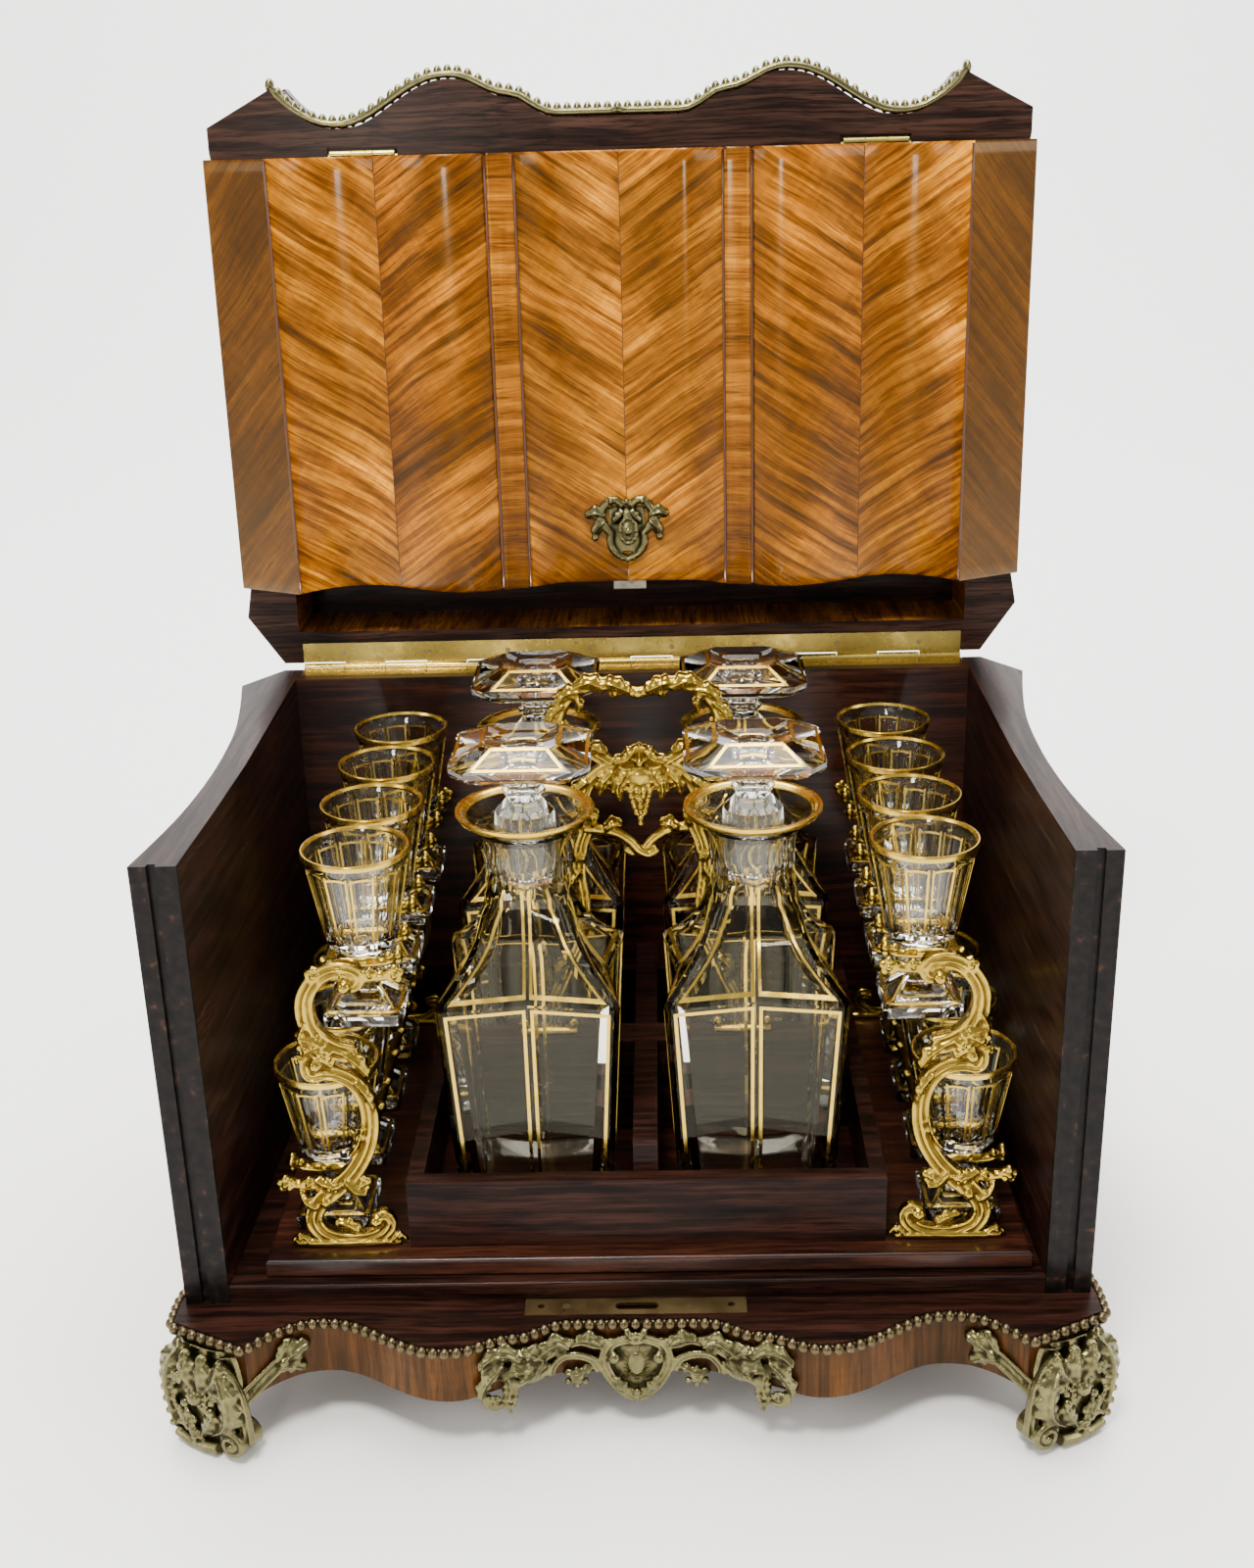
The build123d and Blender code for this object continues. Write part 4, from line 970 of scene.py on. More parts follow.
# -- mount under the middle of the front
def apron():
    def T(a, b, c):
        return P(a, serp(abs(a)) + 0.9 + b, c)

    bag = Bag()
    # ribbed oval in its frame
    for k in range(22):
        a = 2 * pi * k / 22
        bag.tube(T, [(3.1 * cos(a), -2.2, -17.5 + 4.9 * sin(a)),
                     (4.7 * cos(a), -1.4, -17.5 + 7.4 * sin(a))], 0.5, 6)
    bag.sphere(T, (0, -1.2, -17.5), 1.0, 16, 12, (3.9, 3.0, 5.8))
    bag.tube(T, [(0, -0.4, -9), (0, -0.4, -18), (0, -0.4, -30)],
             [8, 10, 5], 14, flat=0.16)
    for z in (-13.6, -15.5, -17.4, -19.3, -21.2):
        w = 3.0 * sqrt(max(0.1, 1 - ((z + 17.5) / 5.6) ** 2))
        bag.tube(T, [(-w, -2.2, z - .3), (0, -3.9, z + .3), (w, -2.2, z - .3)],
                 0.5, 6)
    frame_pts = [(0, -7.0), (5.0, -7.6), (9.0, -9.6), (11.4, -14.0),
                 (11.2, -19.5), (8.6, -25.0), (5.0, -29.5), (0, -32.6)]
    for sx in (-1, 1):
        scroll(bag, T, [(sx * x, z) for x, z in frame_pts], 1.9, 2.3, -1.2,
               flat=1.1)
        bag.sphere(T, (sx * 8.0, -2.8, -14.6), 2.4, 12, 9)
        bag.sphere(T, (sx * 8.0, -1.0, -14.6), 3.0, 12, 9, (1, 0.5, 1))
        # cup of shells at the bottom
        bag.leaf(T, [(sx * 1.5, -1.6, -32), (sx * 5.5, -3.2, -27.0),
                     (sx * 8.0, -2.6, -22.6)], 2.8, 1.0, lobes=3, cup=0.5)
        bag.tube(T, [(0, -1.6, -31.6), (sx * 4, -2.4, -30.2),
                     (sx * 7.4, -1.8, -27.6)], 1.25, 8)
        # top tuft
        bag.leaf(T, [(sx * 0.8, -1.6, -8.2), (sx * 2.2, -2.8, -5.2),
                     (sx * 4.4, -1.4, -2.6)], 2.0, 0.9, lobes=2, cup=0.4)
        # arch with a ribbed edge, and the blossom hanging in it
        arch = [(13.0, -21.0), (15.5, -16.4), (20.5, -14.2), (26.0, -14.6),
                (30.0, -18.0), (31.0, -21.5)]
        scroll(bag, T, [(sx * x, z) for x, z in arch], 2.0, 1.6, -1.2,
               flat=1.1)
        for x, z in catmull(arch, 4):
            bag.sphere(T, (sx * x, -2.6, z + 0.9), 0.72, 7, 5)
        bag.leaf(T, [(sx * 16.0, -1.2, -19.6), (sx * 21.5, -2.6, -21.5),
                     (sx * 27.0, -1.2, -21.6)], 2.9, 1.0, lobes=3, cup=0.4)
        flower(bag, T, (sx * 21.8, -2.8, -23.6), 2.6, 5, 0.2)
        for dx, dz in ((-3.2, -1.6), (0, -3.2), (3.2, -1.6)):
            bag.sphere(T, (sx * (21.8 + dx), -1.6, -24.2 + dz), 1.35, 9, 7)
        # upper arm: long leafy scroll to the outside
        up = [(8.5, -8.6), (14.0, -9.6), (20.0, -8.0), (26.0, -10.2),
              (32.5, -13.0), (39.0, -12.6), (44.5, -9.0), (50.0, -9.6),
              (54.5, -13.0)]
        scroll(bag, T, [(sx * x, z) for x, z in up], 2.1, 1.4, -1.0, flat=1.0)
        for a, b, w, lb in (
            ([(12, -9.4), (17.0, -6.4), (22.5, -7.6)], -2.0, 2.4, 3),
            ([(24, -10.4), (28.5, -7.4), (33.0, -9.6), (36.5, -12)], -2.2, 2.9, 4),
            ([(33, -13), (37.5, -8.2), (42.0, -6.6)], -2.0, 2.6, 3),
            ([(41, -10), (46.0, -6.2), (52.0, -7.2), (56, -10.6)], -2.0, 2.9, 4),
            ([(33, -14), (37.0, -18.0), (42.5, -18.6)], -1.8, 2.6, 3),
            ([(47, -11), (51.5, -14.6), (54.6, -19.6), (55.4, -24)], -1.8, 2.7, 4),
            ([(37, -15), (43.0, -14.2), (48.5, -17.2)], -2.2, 2.4, 3),
            ([(46, -16), (45.0, -22.0), (47.5, -28.6)], -1.6, 2.5, 4),
        ):
            bag.leaf(T, [(sx * x, b - 0.6 * (i == 1), z)
                         for i, (x, z) in enumerate(a)], w * 1.45, 1.3,
                     lobes=lb, cup=0.7, depth=0.34)
        low = [(31.0, -18.6), (35.5, -20.8), (40.0, -20.0), (44.0, -22.6),
               (46.5, -27.0), (50.0, -29.6), (53.6, -27.4), (53.6, -23.6)]
        scroll(bag, T, [(sx * x, z) for x, z in low], 1.7, 1.4, -1.0,
               ridge=False, flat=1.0)
        volute(bag, T, sx * 50.6, -26.2, 3.0, radians(-60), sx * 1.1, 1.0,
               0.7, -1.6, 1.0, 18)
        flower(bag, T, (sx * 38.4, -3.0, -15.4), 2.3, 5, 0.5)
        flower(bag, T, (sx * 50.0, -2.8, -13.4), 2.1, 5, 0.1)
        grapes(bag, T, (sx * 45.4, -2.6, -26.0), 2.0, 5.0, 1.0, 11)
    for dz, r in ((-29.6, 1.5), (-32.0, 1.25)):
        bag.sphere(T, (0, -3.0, dz), r, 9, 7)
    bag.tube(T, [(-10, 0.3, -14), (10, 0.3, -14)], 6.0, 12, flat=0.1)
    bag.sphere(T, (0, -2.4, -5.2), 1.5, 9, 7)
    bag.sphere(T, (0, -2.0, -8.0), 2.0, 10, 8, (1.6, 0.9, 0.8))
    ob = bag.out("apron_casting", [bronze])
    cast(ob, 0.42, 1)
    done(ob, "case", ["apron_mount"])


apron()


# -- escutcheon and its cover
def escutcheon():
    kh = -174.3 + 22.0

    def T(a, b, c):
        return PP(a, -12.35 + b, kh + c)

    bag = Bag()
    bag.tube(T, [(-7.5, -0.4, 3.5), (7.5, -0.4, 3.5)], 7.0, 14, flat=0.16)
    bag.tube(T, [(0, -0.4, -9), (0, -0.4, 9)], 7.0, 14, flat=0.16,
             up=(0, 1, 0))
    for sx in (-1, 1):
        scroll(bag, T, [(sx * x, z) for x, z in
                        [(1.5, 10.6), (5.0, 13.0), (9.0, 11.0), (11.0, 6.6),
                         (9.4, 2.0), (6.4, -1.5)]], 1.8, 1.9, -1.0, flat=0.9,
               ridge=False)
        volute(bag, T, sx * 6.6, 12.6, 2.4, radians(-90), sx * 1.1, 0.9, 0.6,
               -1.2, 1.0, 16)
        bag.leaf(T, [(sx * 9, -1.0, 6), (sx * 13.5, -1.5, 7.6),
                     (sx * 18.0, -0.8, 6.2)], 3.6, 1.1, lobes=3, cup=0.5,
                 depth=0.3)
        bag.leaf(T, [(sx * 9.5, -1.1, 4), (sx * 12.5, -1.8, 1.4),
                     (sx * 14.2, -0.8, -2.2)], 3.2, 1.2, lobes=2, cup=0.5,
                 depth=0.3)
        bag.leaf(T, [(sx * 1.0, -1.4, 8.5), (sx * 3.4, -2.2, 6.0),
                     (sx * 6.2, -1.6, 3.6)], 2.8, 1.1, lobes=3, cup=0.4,
                 depth=0.3)
        bag.sphere(T, (sx * 11.4, -1.3, 5.0), 1.6, 9, 7)
        bag.sphere(T, (sx * 13.6, -1.6, -2.6), 1.7, 9, 7)
        for k in range(4):
            a = radians(-20 - 24 * k)
            bag.sphere(T, (sx * (6.6 * cos(a)), -1.4, -4.0 + 8.4 * sin(a)),
                       1.15, 8, 6)
        scroll(bag, T, [(sx * x, z) for x, z in
                        [(6.8, -1.0), (7.2, -5.4), (5.0, -9.6), (0.8, -11.8)]],
               1.7, 1.6, -1.0, flat=0.9, ridge=False)
    bag.sphere(T, (0, -1.6, 12.2), 1.4, 9, 7)
    for k in range(5):
        a = radians(50 + 20 * k)
        bag.tube(T, [(0, -1.6, 3.5), (5.2 * cos(a), -1.4, 3.5 + 5.6 * sin(a))],
                 [0.5, 0.9], 7)
    ob = bag.out("escutcheon_casting", [bronze])
    cast(ob, 0.3, 1)
    done(ob, "panel", ["escutcheon"])
    # swinging cover: oval rim with a boss
    bag = Bag()

    def C(a, b, c):
        return PP(a, -13.75 + b, kh + c)

    ring = [(0.5 + 3.6 * cos(a), -2.7, 0.4 + 5.4 * sin(a))
            for a in np.linspace(0, 2 * pi, 28)]
    bag.tube(C, ring, 0.85, 8, flat=0.8)
    bag.sphere(C, (0.5, -2.5, 0.4), 1.0, 14, 10, (3.3, 0.9, 5.0))
    bag.sphere(C, (0.5, -3.1, 0.0), 1.5, 12, 9, (1, 0.8, 1))
    bag.tube(C, [(0, -2.4, 8.6), (0, 0.4, 8.6)], [1.3, 1.3], 12,
             up=(1, 0, 0))
    bag.tube(C, [(0.3, -2.6, 5.6), (0, -2.7, 8.6)], [1.9, 1.6], 10, flat=0.5)
    for k in range(8):
        a = 2 * pi * k / 8
        bag.sphere(C, (0.5 + 3.4 * cos(a), -3.2, 0.4 + 5.2 * sin(a)), 0.6, 7, 5)
    ob = bag.out("keyhole_cover_casting", [bronze])
    cast(ob, 0.3, 1)
    done(ob, "cover", ["keyhole_cover"])


escutcheon()

# -- racks
CUP = [(104.0, 121.0), (99.8, 122.4), (99.4, 126.0), (103.5, 128.0),
       (109.5, 127.4), (115.0, 123.0), (118.4, 116.0), (118.2, 107.6),
       (114.6, 101.0), (108.8, 96.6), (102.5, 94.6)]
ESS = [(116.4, 92.6), (119.6, 90.4), (118.6, 86.4), (113.6, 87.2),
       (107.5, 86.0), (102.2, 81.6), (99.2, 74.0), (98.9, 65.0),
       (101.0, 55.6), (105.6, 47.2), (111.6, 40.6), (117.0, 35.6)]
CEE = [(114.8, 38.6), (120.2, 32.4), (122.6, 25.4), (119.8, 19.6),
       (112.8, 16.6), (104.6, 16.6), (98.2, 18.8), (95.0, 22.8),
       (96.6, 26.4), (100.6, 25.4)]


def rack(name, sx):
    bag = Bag()

    def T(a, b, c):
        return P(CX + sx * a, b, c)

    for yc, out in ((16.0, -1.0), (184.0, 1.0)):
        def E(a, b, c, yc=yc, out=out):
            return P(CX + sx * a, yc - out * b * 1.0, c)

        # b is negative outwards from the glasses
        def G(a, b, c, yc=yc, out=out):
            return P(CX + sx * a, yc + (b if out < 0 else -b), c)

        for path, r0, r1 in ((CUP, 2.6, 3.9), (ESS, 2.8, 3.7),
                             (CEE, 3.7, 2.7)):
            scroll(bag, G, path, r0, r1, 0, flat=0.85, both=True)
        bag.sphere(G, (103.8, -1.6, 121.6), 2.7, 12, 9)
        bag.sphere(G, (116.4, -1.6, 90.6), 2.8, 12, 9)
        bag.sphere(G, (99.4, -1.6, 25.0), 2.8, 12, 9)
        # blossoms on the outer side, and on the bar under the front bowl
        flower(bag, G, (119.4, -1.6, 97.4), 3.4, 5, 0.2)
        flower(bag, G, (122.0, -0.6, 92.6), 2.4, 5, 0.5)
        bag.sphere(G, (117.4, -2.0, 33.6), 2.2, 10, 8)
        # leaves where the scrolls meet
        for pts, w, lb in (
            ([(112, 99.5), (116.5, 98.4), (120.4, 95.4)], 2.6, 3),
            ([(112, 97.4), (115.4, 100.4), (119.8, 101.2)], 2.2, 3),
            ([(106, 95.4), (101.0, 91.6), (97.6, 86.0)], 2.6, 3),
            ([(110, 90.4), (114.0, 93.6), (117.6, 94.0)], 2.6, 3),
            ([(103, 84.0), (99.0, 79.0), (96.6, 72.0)], 1.8, 4),
            ([(101.5, 66), (103.4, 59.0), (107.6, 52.6)], 1.6, 4),
            ([(110, 43.0), (106.0, 38.6), (101.6, 37.0)], 2.3, 3),
            ([(112, 41.5), (116.8, 41.6), (121.0, 44.0)], 2.4, 3),
            ([(121, 31), (124.4, 34.0), (126.6, 38.4)], 1.7, 3),
            ([(106, 21), (110.0, 24.6), (115.0, 25.6)], 2.1, 3),
            ([(118.6, 108), (121.0, 103.0), (120.6, 98.6)], 1.6, 3),
        ):
            bag.leaf(G, [(x, -1.6 - 0.8 * (i == 1), z)
                         for i, (x, z) in enumerate(pts)], w * 1.35, 1.1,
                     lobes=lb, cup=0.4, depth=0.36)
        flower(bag, G, (112.8, -3.0, 95.4), 2.9, 5, 0.2)
        flower(bag, G, (114.0, -3.0, 40.6), 2.7, 5, 0.5)
        for k in range(6):
            bag.sphere(G, (119.3 - 0.6 * k * (k > 2), -1.0, 118.5 - 3.4 * k),
                       0.75, 7, 5)
        # spreading foot with turned-up leaf ends
        bag.tube(G, [(91, 0, 15.4), (100, 0, 15.9), (112, 0, 15.9),
                     (124, 0, 15.6), (130, 0, 15.4)],
                 [1.3, 1.9, 2.2, 1.9, 1.3], 10, flat=1.5)
        bag.leaf(G, [(124, -0.6, 16.6), (128.4, -1.0, 18.6),
                     (132.2, -0.6, 16.0)], 2.2, 0.8, (0, -0.3, 1), 3, 0.2)
        bag.leaf(G, [(95, -0.6, 16.6), (91.4, -1.0, 18.8),
                     (88.0, -0.6, 16.0)], 2.2, 0.8, (0, -0.3, 1), 3, 0.2)
    # rails and forks
    for row, z1, spine, tip in ((100.2, 125.8, 11.6, -12.8),
                                (117.5, 40.8, -11.6, 12.8)):
        bag.tube(T, [(row + spine, 15.5, z1 - 2.4), (row + spine, 184.5, z1 - 2.4)],
                 2.3, 12, up=(0, 0, 1))
        for e, yb in ((-1, 16.5), (1, 183.5)):
            s = 1 if tip > 0 else -1
            bag.tube(T, catmull([(row + spine * 1.15, yb, z1 - 1.4),
                                 (row + spine * 0.4, yb, z1 - 0.4),
                                 (row + tip * 0.4, yb, z1 - 1.2),
                                 (row + tip * 1.05, yb, z1 - 0.2)], 4),
                     [2.4] * 13, 10, up=(0, 0, 1), flat=0.9)
            for xx, rr in ((row + spine * 1.22, 3.3), (row + tip * 1.12, 3.4),
                           (row + spine * 0.35, 2.6), (row + tip * 0.45, 2.6)):
                for k in range(5):
                    a = 2 * pi * k / 5 + 0.3
                    bag.sphere(T, (xx + 0.62 * rr * cos(a), yb + e * 1.2,
                                   z1 + 0.2 + 0.62 * rr * sin(a)), 0.5 * rr,
                               9, 7)
                bag.sphere(T, (xx, yb + e * 2.6, z1 + 0.2), 0.36 * rr, 8, 6)
        for gy in (38, 80, 122, 164):
            for e in (-1, 1):
                s = 1 if tip > 0 else -1
                pts = [(row + spine, gy + e * 9.5, z1 - 2.4),
                       (row + spine * 0.45, gy + e * 9.3, z1 - 2.0),
                       (row + tip * 0.2, gy + e * 8.9, z1 - 2.2),
                       (row + tip * 0.8, gy + e * 8.7, z1 - 1.6),
                       (row + tip * 1.05, gy + e * 9.2, z1 + 0.4)]
                bag.tube(T, catmull(pts, 4), [2.1] * 13 + [1.9, 1.8, 1.7, 1.5],
                         10, up=(0, 0, 1), flat=0.85)
                q = (row + tip * 1.1, gy + e * 9.4, z1 + 1.2)
                for k in range(5):
                    a = 2 * pi * k / 5 + 0.3
                    bag.sphere(T, (q[0], q[1] + 2.1 * cos(a), q[2] + 2.1 * sin(a)),
                               1.65, 9, 7)
                bag.sphere(T, (q[0] + s * 1.5, q[1], q[2]), 1.2, 8, 6)
                bag.sphere(T, (q[0] - s * 3.4, q[1] + e * 1.2, q[2] + 0.2), 1.8,
                           9, 7)
                bag.sphere(T, (row + spine + (-s) * 1.6, gy + e * 9.5, z1 - 1.0),
                           2.0, 9, 7, (1, 1.3, 0.9))
                bag.leaf(T, [(row + spine * 0.6, gy + e * 9.0, z1 - 1.0),
                             (row + tip * 0.1, gy + e * 9.6, z1 - 0.4),
                             (row + tip * 0.6, gy + e * 9.6, z1 - 0.6)], 1.6,
                         0.6, (0, 0, 1), 3, 0.2)
    ob = bag.out(name + "_casting", [gold])
    cast(ob, 0.46, 1)
    done(ob, "tray", [name])


rack("rack_left", -1)
rack("rack_right", 1)


# -- carrying handle
def handle():
    def T(a, b, c):
        return P(CX + a, 99.5 + b, c)

    def Tb(a, b, c):
        return P(CX + a, 99.5 - b, c)

    bag = Bag()
    for sx in (-1, 1):
        def X(pts):
            return [(sx * x, z) for x, z in pts]

        scroll(bag, T, X([(-0.5, 199.6), (5, 200.4), (11, 202.3), (19, 201.9),
                          (26, 198.0), (30.4, 190.4), (30.8, 183.0),
                          (27.0, 179.0)]), 2.1, 3.0, 0, flat=1.0, ridge=False)
        scroll(bag, T, X([(27.5, 179.5), (22, 178.6), (15, 174.2), (8, 170.2),
                          (1, 168.6)]), 2.8, 2.6, 0, flat=1.0,
               both=True)
        scroll(bag, T, X([(9, 171), (16, 167.6), (21, 161.6), (22.2, 154.0),
                          (20.6, 146.6), (23.4, 137.8), (24.6, 126),
                          (23.2, 112), (25.4, 98), (31, 82), (36.4, 68),
                          (38, 58.2)]), 2.7, 2.8, 0, flat=1.0,
               both=True)
        scroll(bag, T, X([(22, 145.2), (16.8, 144.4), (10, 143.0),
                          (4.6, 139.4), (1.2, 135.4), (-3.0, 133.6),
                          (-6.4, 135.8)]), 2.3, 1.8, 0.6 * sx, flat=1.0,
               ridge=False)
        volute(bag, T, sx * 8.6, 199.6, 2.2, radians(90), -sx * 1.2, 0.9, 0.6,
               -0.4, 1.2, 16)
        volute(bag, T, sx * 25.2, 175.6, 2.6, radians(60), -sx * 1.2, 1.0,
               0.7, -0.6, 1.2, 16)
        for TT, bb in ((T, -1.9), (Tb, -1.9)):
            for pts, w, lb in (
                ([(3, 200.6), (9, 203.6), (15, 204.0)], 2.0, 4),
                ([(12, 201.6), (18, 204.6), (24.5, 202.2)], 2.2, 4),
                ([(21, 201.0), (27.4, 200.0), (31.4, 194.4)], 2.1, 4),
                ([(28, 196), (33.0, 191.0), (33.0, 184.6)], 2.0, 4),
                ([(24, 199), (22.0, 195.4), (23.0, 192.0)], 1.3, 3),
                ([(30, 184), (26.0, 182.4), (22.0, 184.0)], 1.6, 3),
                ([(22, 178), (17.0, 178.4), (12.0, 175.8)], 1.8, 4),
                ([(10, 172), (4.6, 174.0), (1.2, 178.6)], 1.7, 3),
                ([(10, 169), (14.4, 164.0), (15.4, 158.6)], 2.4, 4),
                ([(5, 168), (8.6, 162.4), (7.6, 156.4)], 2.4, 4),
                ([(20, 165), (24.4, 161.6), (26.4, 156.4)], 1.9, 3),
                ([(22, 154), (18.6, 150.0), (18.8, 145.4)], 2.0, 3),
                ([(22, 149), (26.4, 145.6), (27.6, 140.4)], 2.0, 3),
                ([(14, 144), (11.0, 147.0), (7.0, 146.4)], 1.5, 3),
                ([(24, 128), (27.6, 122.0), (26.6, 115.6)], 1.8, 4),
                ([(24, 108), (21.6, 101.0), (24.6, 95.0)], 1.6, 4),
                ([(29, 90), (33.6, 84.6), (33.4, 77.0)], 1.8, 4),
            ):
                bag.leaf(TT, [(sx * x, bb - 0.7 * (i == 1), z)
                              for i, (x, z) in enumerate(pts)], w * 1.4, 1.1,
                         lobes=lb, cup=0.45, depth=0.36)
            flower(bag, TT, (sx * 20.4, -2.6, 152.6), 3.0, 5, 0.3)
            flower(bag, TT, (sx * 28.8, -2.4, 186.6), 2.4, 5, 0.1)
            flower(bag, TT, (sx * 24.0, -2.4, 133.0), 2.2, 5, 0.1)
        # foot on the divider
        bag.tube(T, [(sx * 27.5, 0, 56.8), (sx * 38, 0, 57.6),
                     (sx * 50.5, 0, 56.6)], [1.4, 2.4, 1.3], 10, flat=2.0)
        volute(bag, T, sx * 29.4, 59.6, 2.6, radians(-90), -sx * 1.2, 1.1,
               0.7, 0, 1.6, 16)
        volute(bag, T, sx * 48.6, 59.6, 2.6, radians(-90), sx * 1.2, 1.1, 0.7,
               0, 1.6, 16)
    for TT in (T, Tb):
        # crest, mask-like shield left plain, leaves and pendent grapes
        bag.sphere(TT, (0, -1.8, 166.0), 1.0, 14, 10, (5.4, 2.4, 4.6))
        bag.sphere(TT, (0, -2.8, 172.0), 1.7, 9, 7)
        for sx in (-1, 1):
            bag.leaf(TT, [(sx * 0.6, -1.2, 171), (sx * 2.8, -2.0, 174.4),
                          (sx * 5.0, -1.0, 178.0)], 1.7, 0.8, lobes=2,
                     cup=0.3)
        bag.leaf(TT, [(0, -1.4, 172), (0, -2.2, 176), (0, -1.0, 180)], 1.5,
                 0.8, lobes=2, cup=0.3)
        grapes(bag, TT, (0, -2.2, 160.6), 4.0, 13.0, 1.4, 5)
        for k in range(6):
            a = radians(200 + 28 * k)
            bag.sphere(TT, (5.0 * cos(a), -2.6, 166 + 4.4 * sin(a)), 1.0, 8, 6)
    bag.sphere(T, (0, 0, 199.4), 2.6, 10, 8, (1.2, 1, 0.9))
    ob = bag.out("handle_casting", [gold])
    cast(ob, 0.45, 1)
    done(ob, "tray", ["carrying_handle"])


handle()


# ------------------------------------------------------------------ crystal
def rings_to_mesh(bag, rings, close_bottom=True, close_top=True, m=0):
    """Skins rings of equal length; each ring is a list of points."""
    n = len(rings[0])
    vs = [p for r in rings for p in r]
    fs = []
    for i in range(len(rings) - 1):
        for j in range(n):
            k = (j + 1) % n
            fs.append((i * n + j, i * n + k, (i + 1) * n + k, (i + 1) * n + j))
    if close_bottom:
        fs.append(tuple(reversed(range(n))))
    if close_top:
        o = (len(rings) - 1) * n
        fs.append(tuple(range(o, o + n)))
    bag.add(vs, fs, m)


def facet(ob, deg=22):
    ob.data.set_sharp_from_angle(angle=radians(deg))
    return ob


def polar(sides, r, th, turn=0.0, cut=1.0):
    """Radius at angle th of a polygon with the given apothem-ish radius."""
    w = 2 * pi / sides
    a = ((th - turn) % w) - w / 2
    return r * (1 - cut + cut * cos(w / 2) / cos(a))


def sq(th, h, c):
    """Radius at th of a square of half size h with corners cut by c."""
    a = th % (pi / 2)
    a = min(a, pi / 2 - a) if a > pi / 4 else a
    # flat side
    r1 = h / cos(a)
    # clipped corner: x + y = 2h - c
    r2 = (2 * h - c) / (cos(a) + sin(a))
    return min(r1, r2)


NA = 72
TH = [2 * pi * (j + 0.5) / NA for j in range(NA)]


def glass_rings(x, y, zr):
    T = lambda r, th, z: P(x + r * cos(th), y + r * sin(th), zr + z)
    outer = []
    # slab foot
    for z, h, c in ((-65, 13.2, 1.4), (-64.4, 14.0, 1.2), (-60.2, 14.0, 1.2),
                    (-59.6, 13.4, 1.6)):
        outer.append([T(sq(th, h, c), th, z) for th in TH])
    for z, h, c in ((-59.0, 11.6, 1.6), (-55.0, 8.8, 1.4), (-51.4, 6.2, 1.6),
                    (-50.0, 5.0, 1.8)):
        outer.append([T(sq(th, h, c), th, z) for th in TH])
    for z, r in ((-49.0, 4.4), (-47.5, 4.0), (-44.0, 4.2), (-42.4, 5.4),
                 (-41.0, 5.2), (-39.6, 7.4)):
        outer.append([T(polar(8, r, th), th, z) for th in TH])
    for z, r, cut in ((-38.6, 10.2, 0.6), (-37.4, 12.0, 1.0), (-36.0, 12.8, 1.0),
                      (-28, 14.2, 1.0), (-18, 16.05, 1.0), (-9, 17.7, 1.0),
                      (-5.4, 18.35, 0.9), (-4.2, 18.6, 0.25), (-2.0, 19.0, 0.0),
                      (-0.5, 19.25, 0.0)):
        ring = []
        for th in TH:
            r0 = polar(12, r, th, 0, min(cut, 1.0))
            ring.append(T(r0, th, z))
        outer.append(ring)
    outer.append([T(19.0, th, 0.0) for th in TH])
    outer.append([T(18.3, th, -0.1) for th in TH])
    for z, r in ((-1.5, 17.8), (-8, 16.4), (-16, 14.9), (-24, 13.5),
                 (-30, 12.3), (-33.0, 10.8), (-34.2, 8.0), (-34.7, 4.0),
                 (-34.8, 0.4)):
        outer.append([T(r, th, z) for th in TH])
    return outer


def strip(bag, pts_a, pts_b, m=0, thick=0.05):
    """A thin closed band between two lines of points."""
    n = len(pts_a)
    up, dn = [[], []], [[], []]
    for i in range(n):
        pa, pb = Vector(pts_a[i]), Vector(pts_b[i])
        t = Vector(pts_a[min(i + 1, n - 1)]) - Vector(pts_a[max(i - 1, 0)])
        nr = t.cross(pb - pa).normalized() * (thick * MM)
        for k, q in enumerate((pa, pb)):
            up[k].append(q + nr)
            dn[k].append(q - nr)
    vs = up[0] + up[1] + dn[1] + dn[0]
    fs = []
    for i in range(n - 1):
        for r in range(4):
            q = (r + 1) % 4
            fs.append((r * n + i, r * n + i + 1, q * n + i + 1, q * n + i))
    fs.append(tuple(r * n for r in (3, 2, 1, 0)))
    fs.append(tuple(r * n + n - 1 for r in range(4)))
    bag.add(vs, fs, m)


def band_round(bag, rings, m=0):
    """A closed ring whose cross-section is the list of rings."""
    n, k = len(rings[0]), len(rings)
    fs = [(i * n + j, i * n + (j + 1) % n,
           (i + 1) % k * n + (j + 1) % n, (i + 1) % k * n + j)
          for i in range(k) for j in range(n)]
    bag.add([q for r in rings for q in r], fs, m)


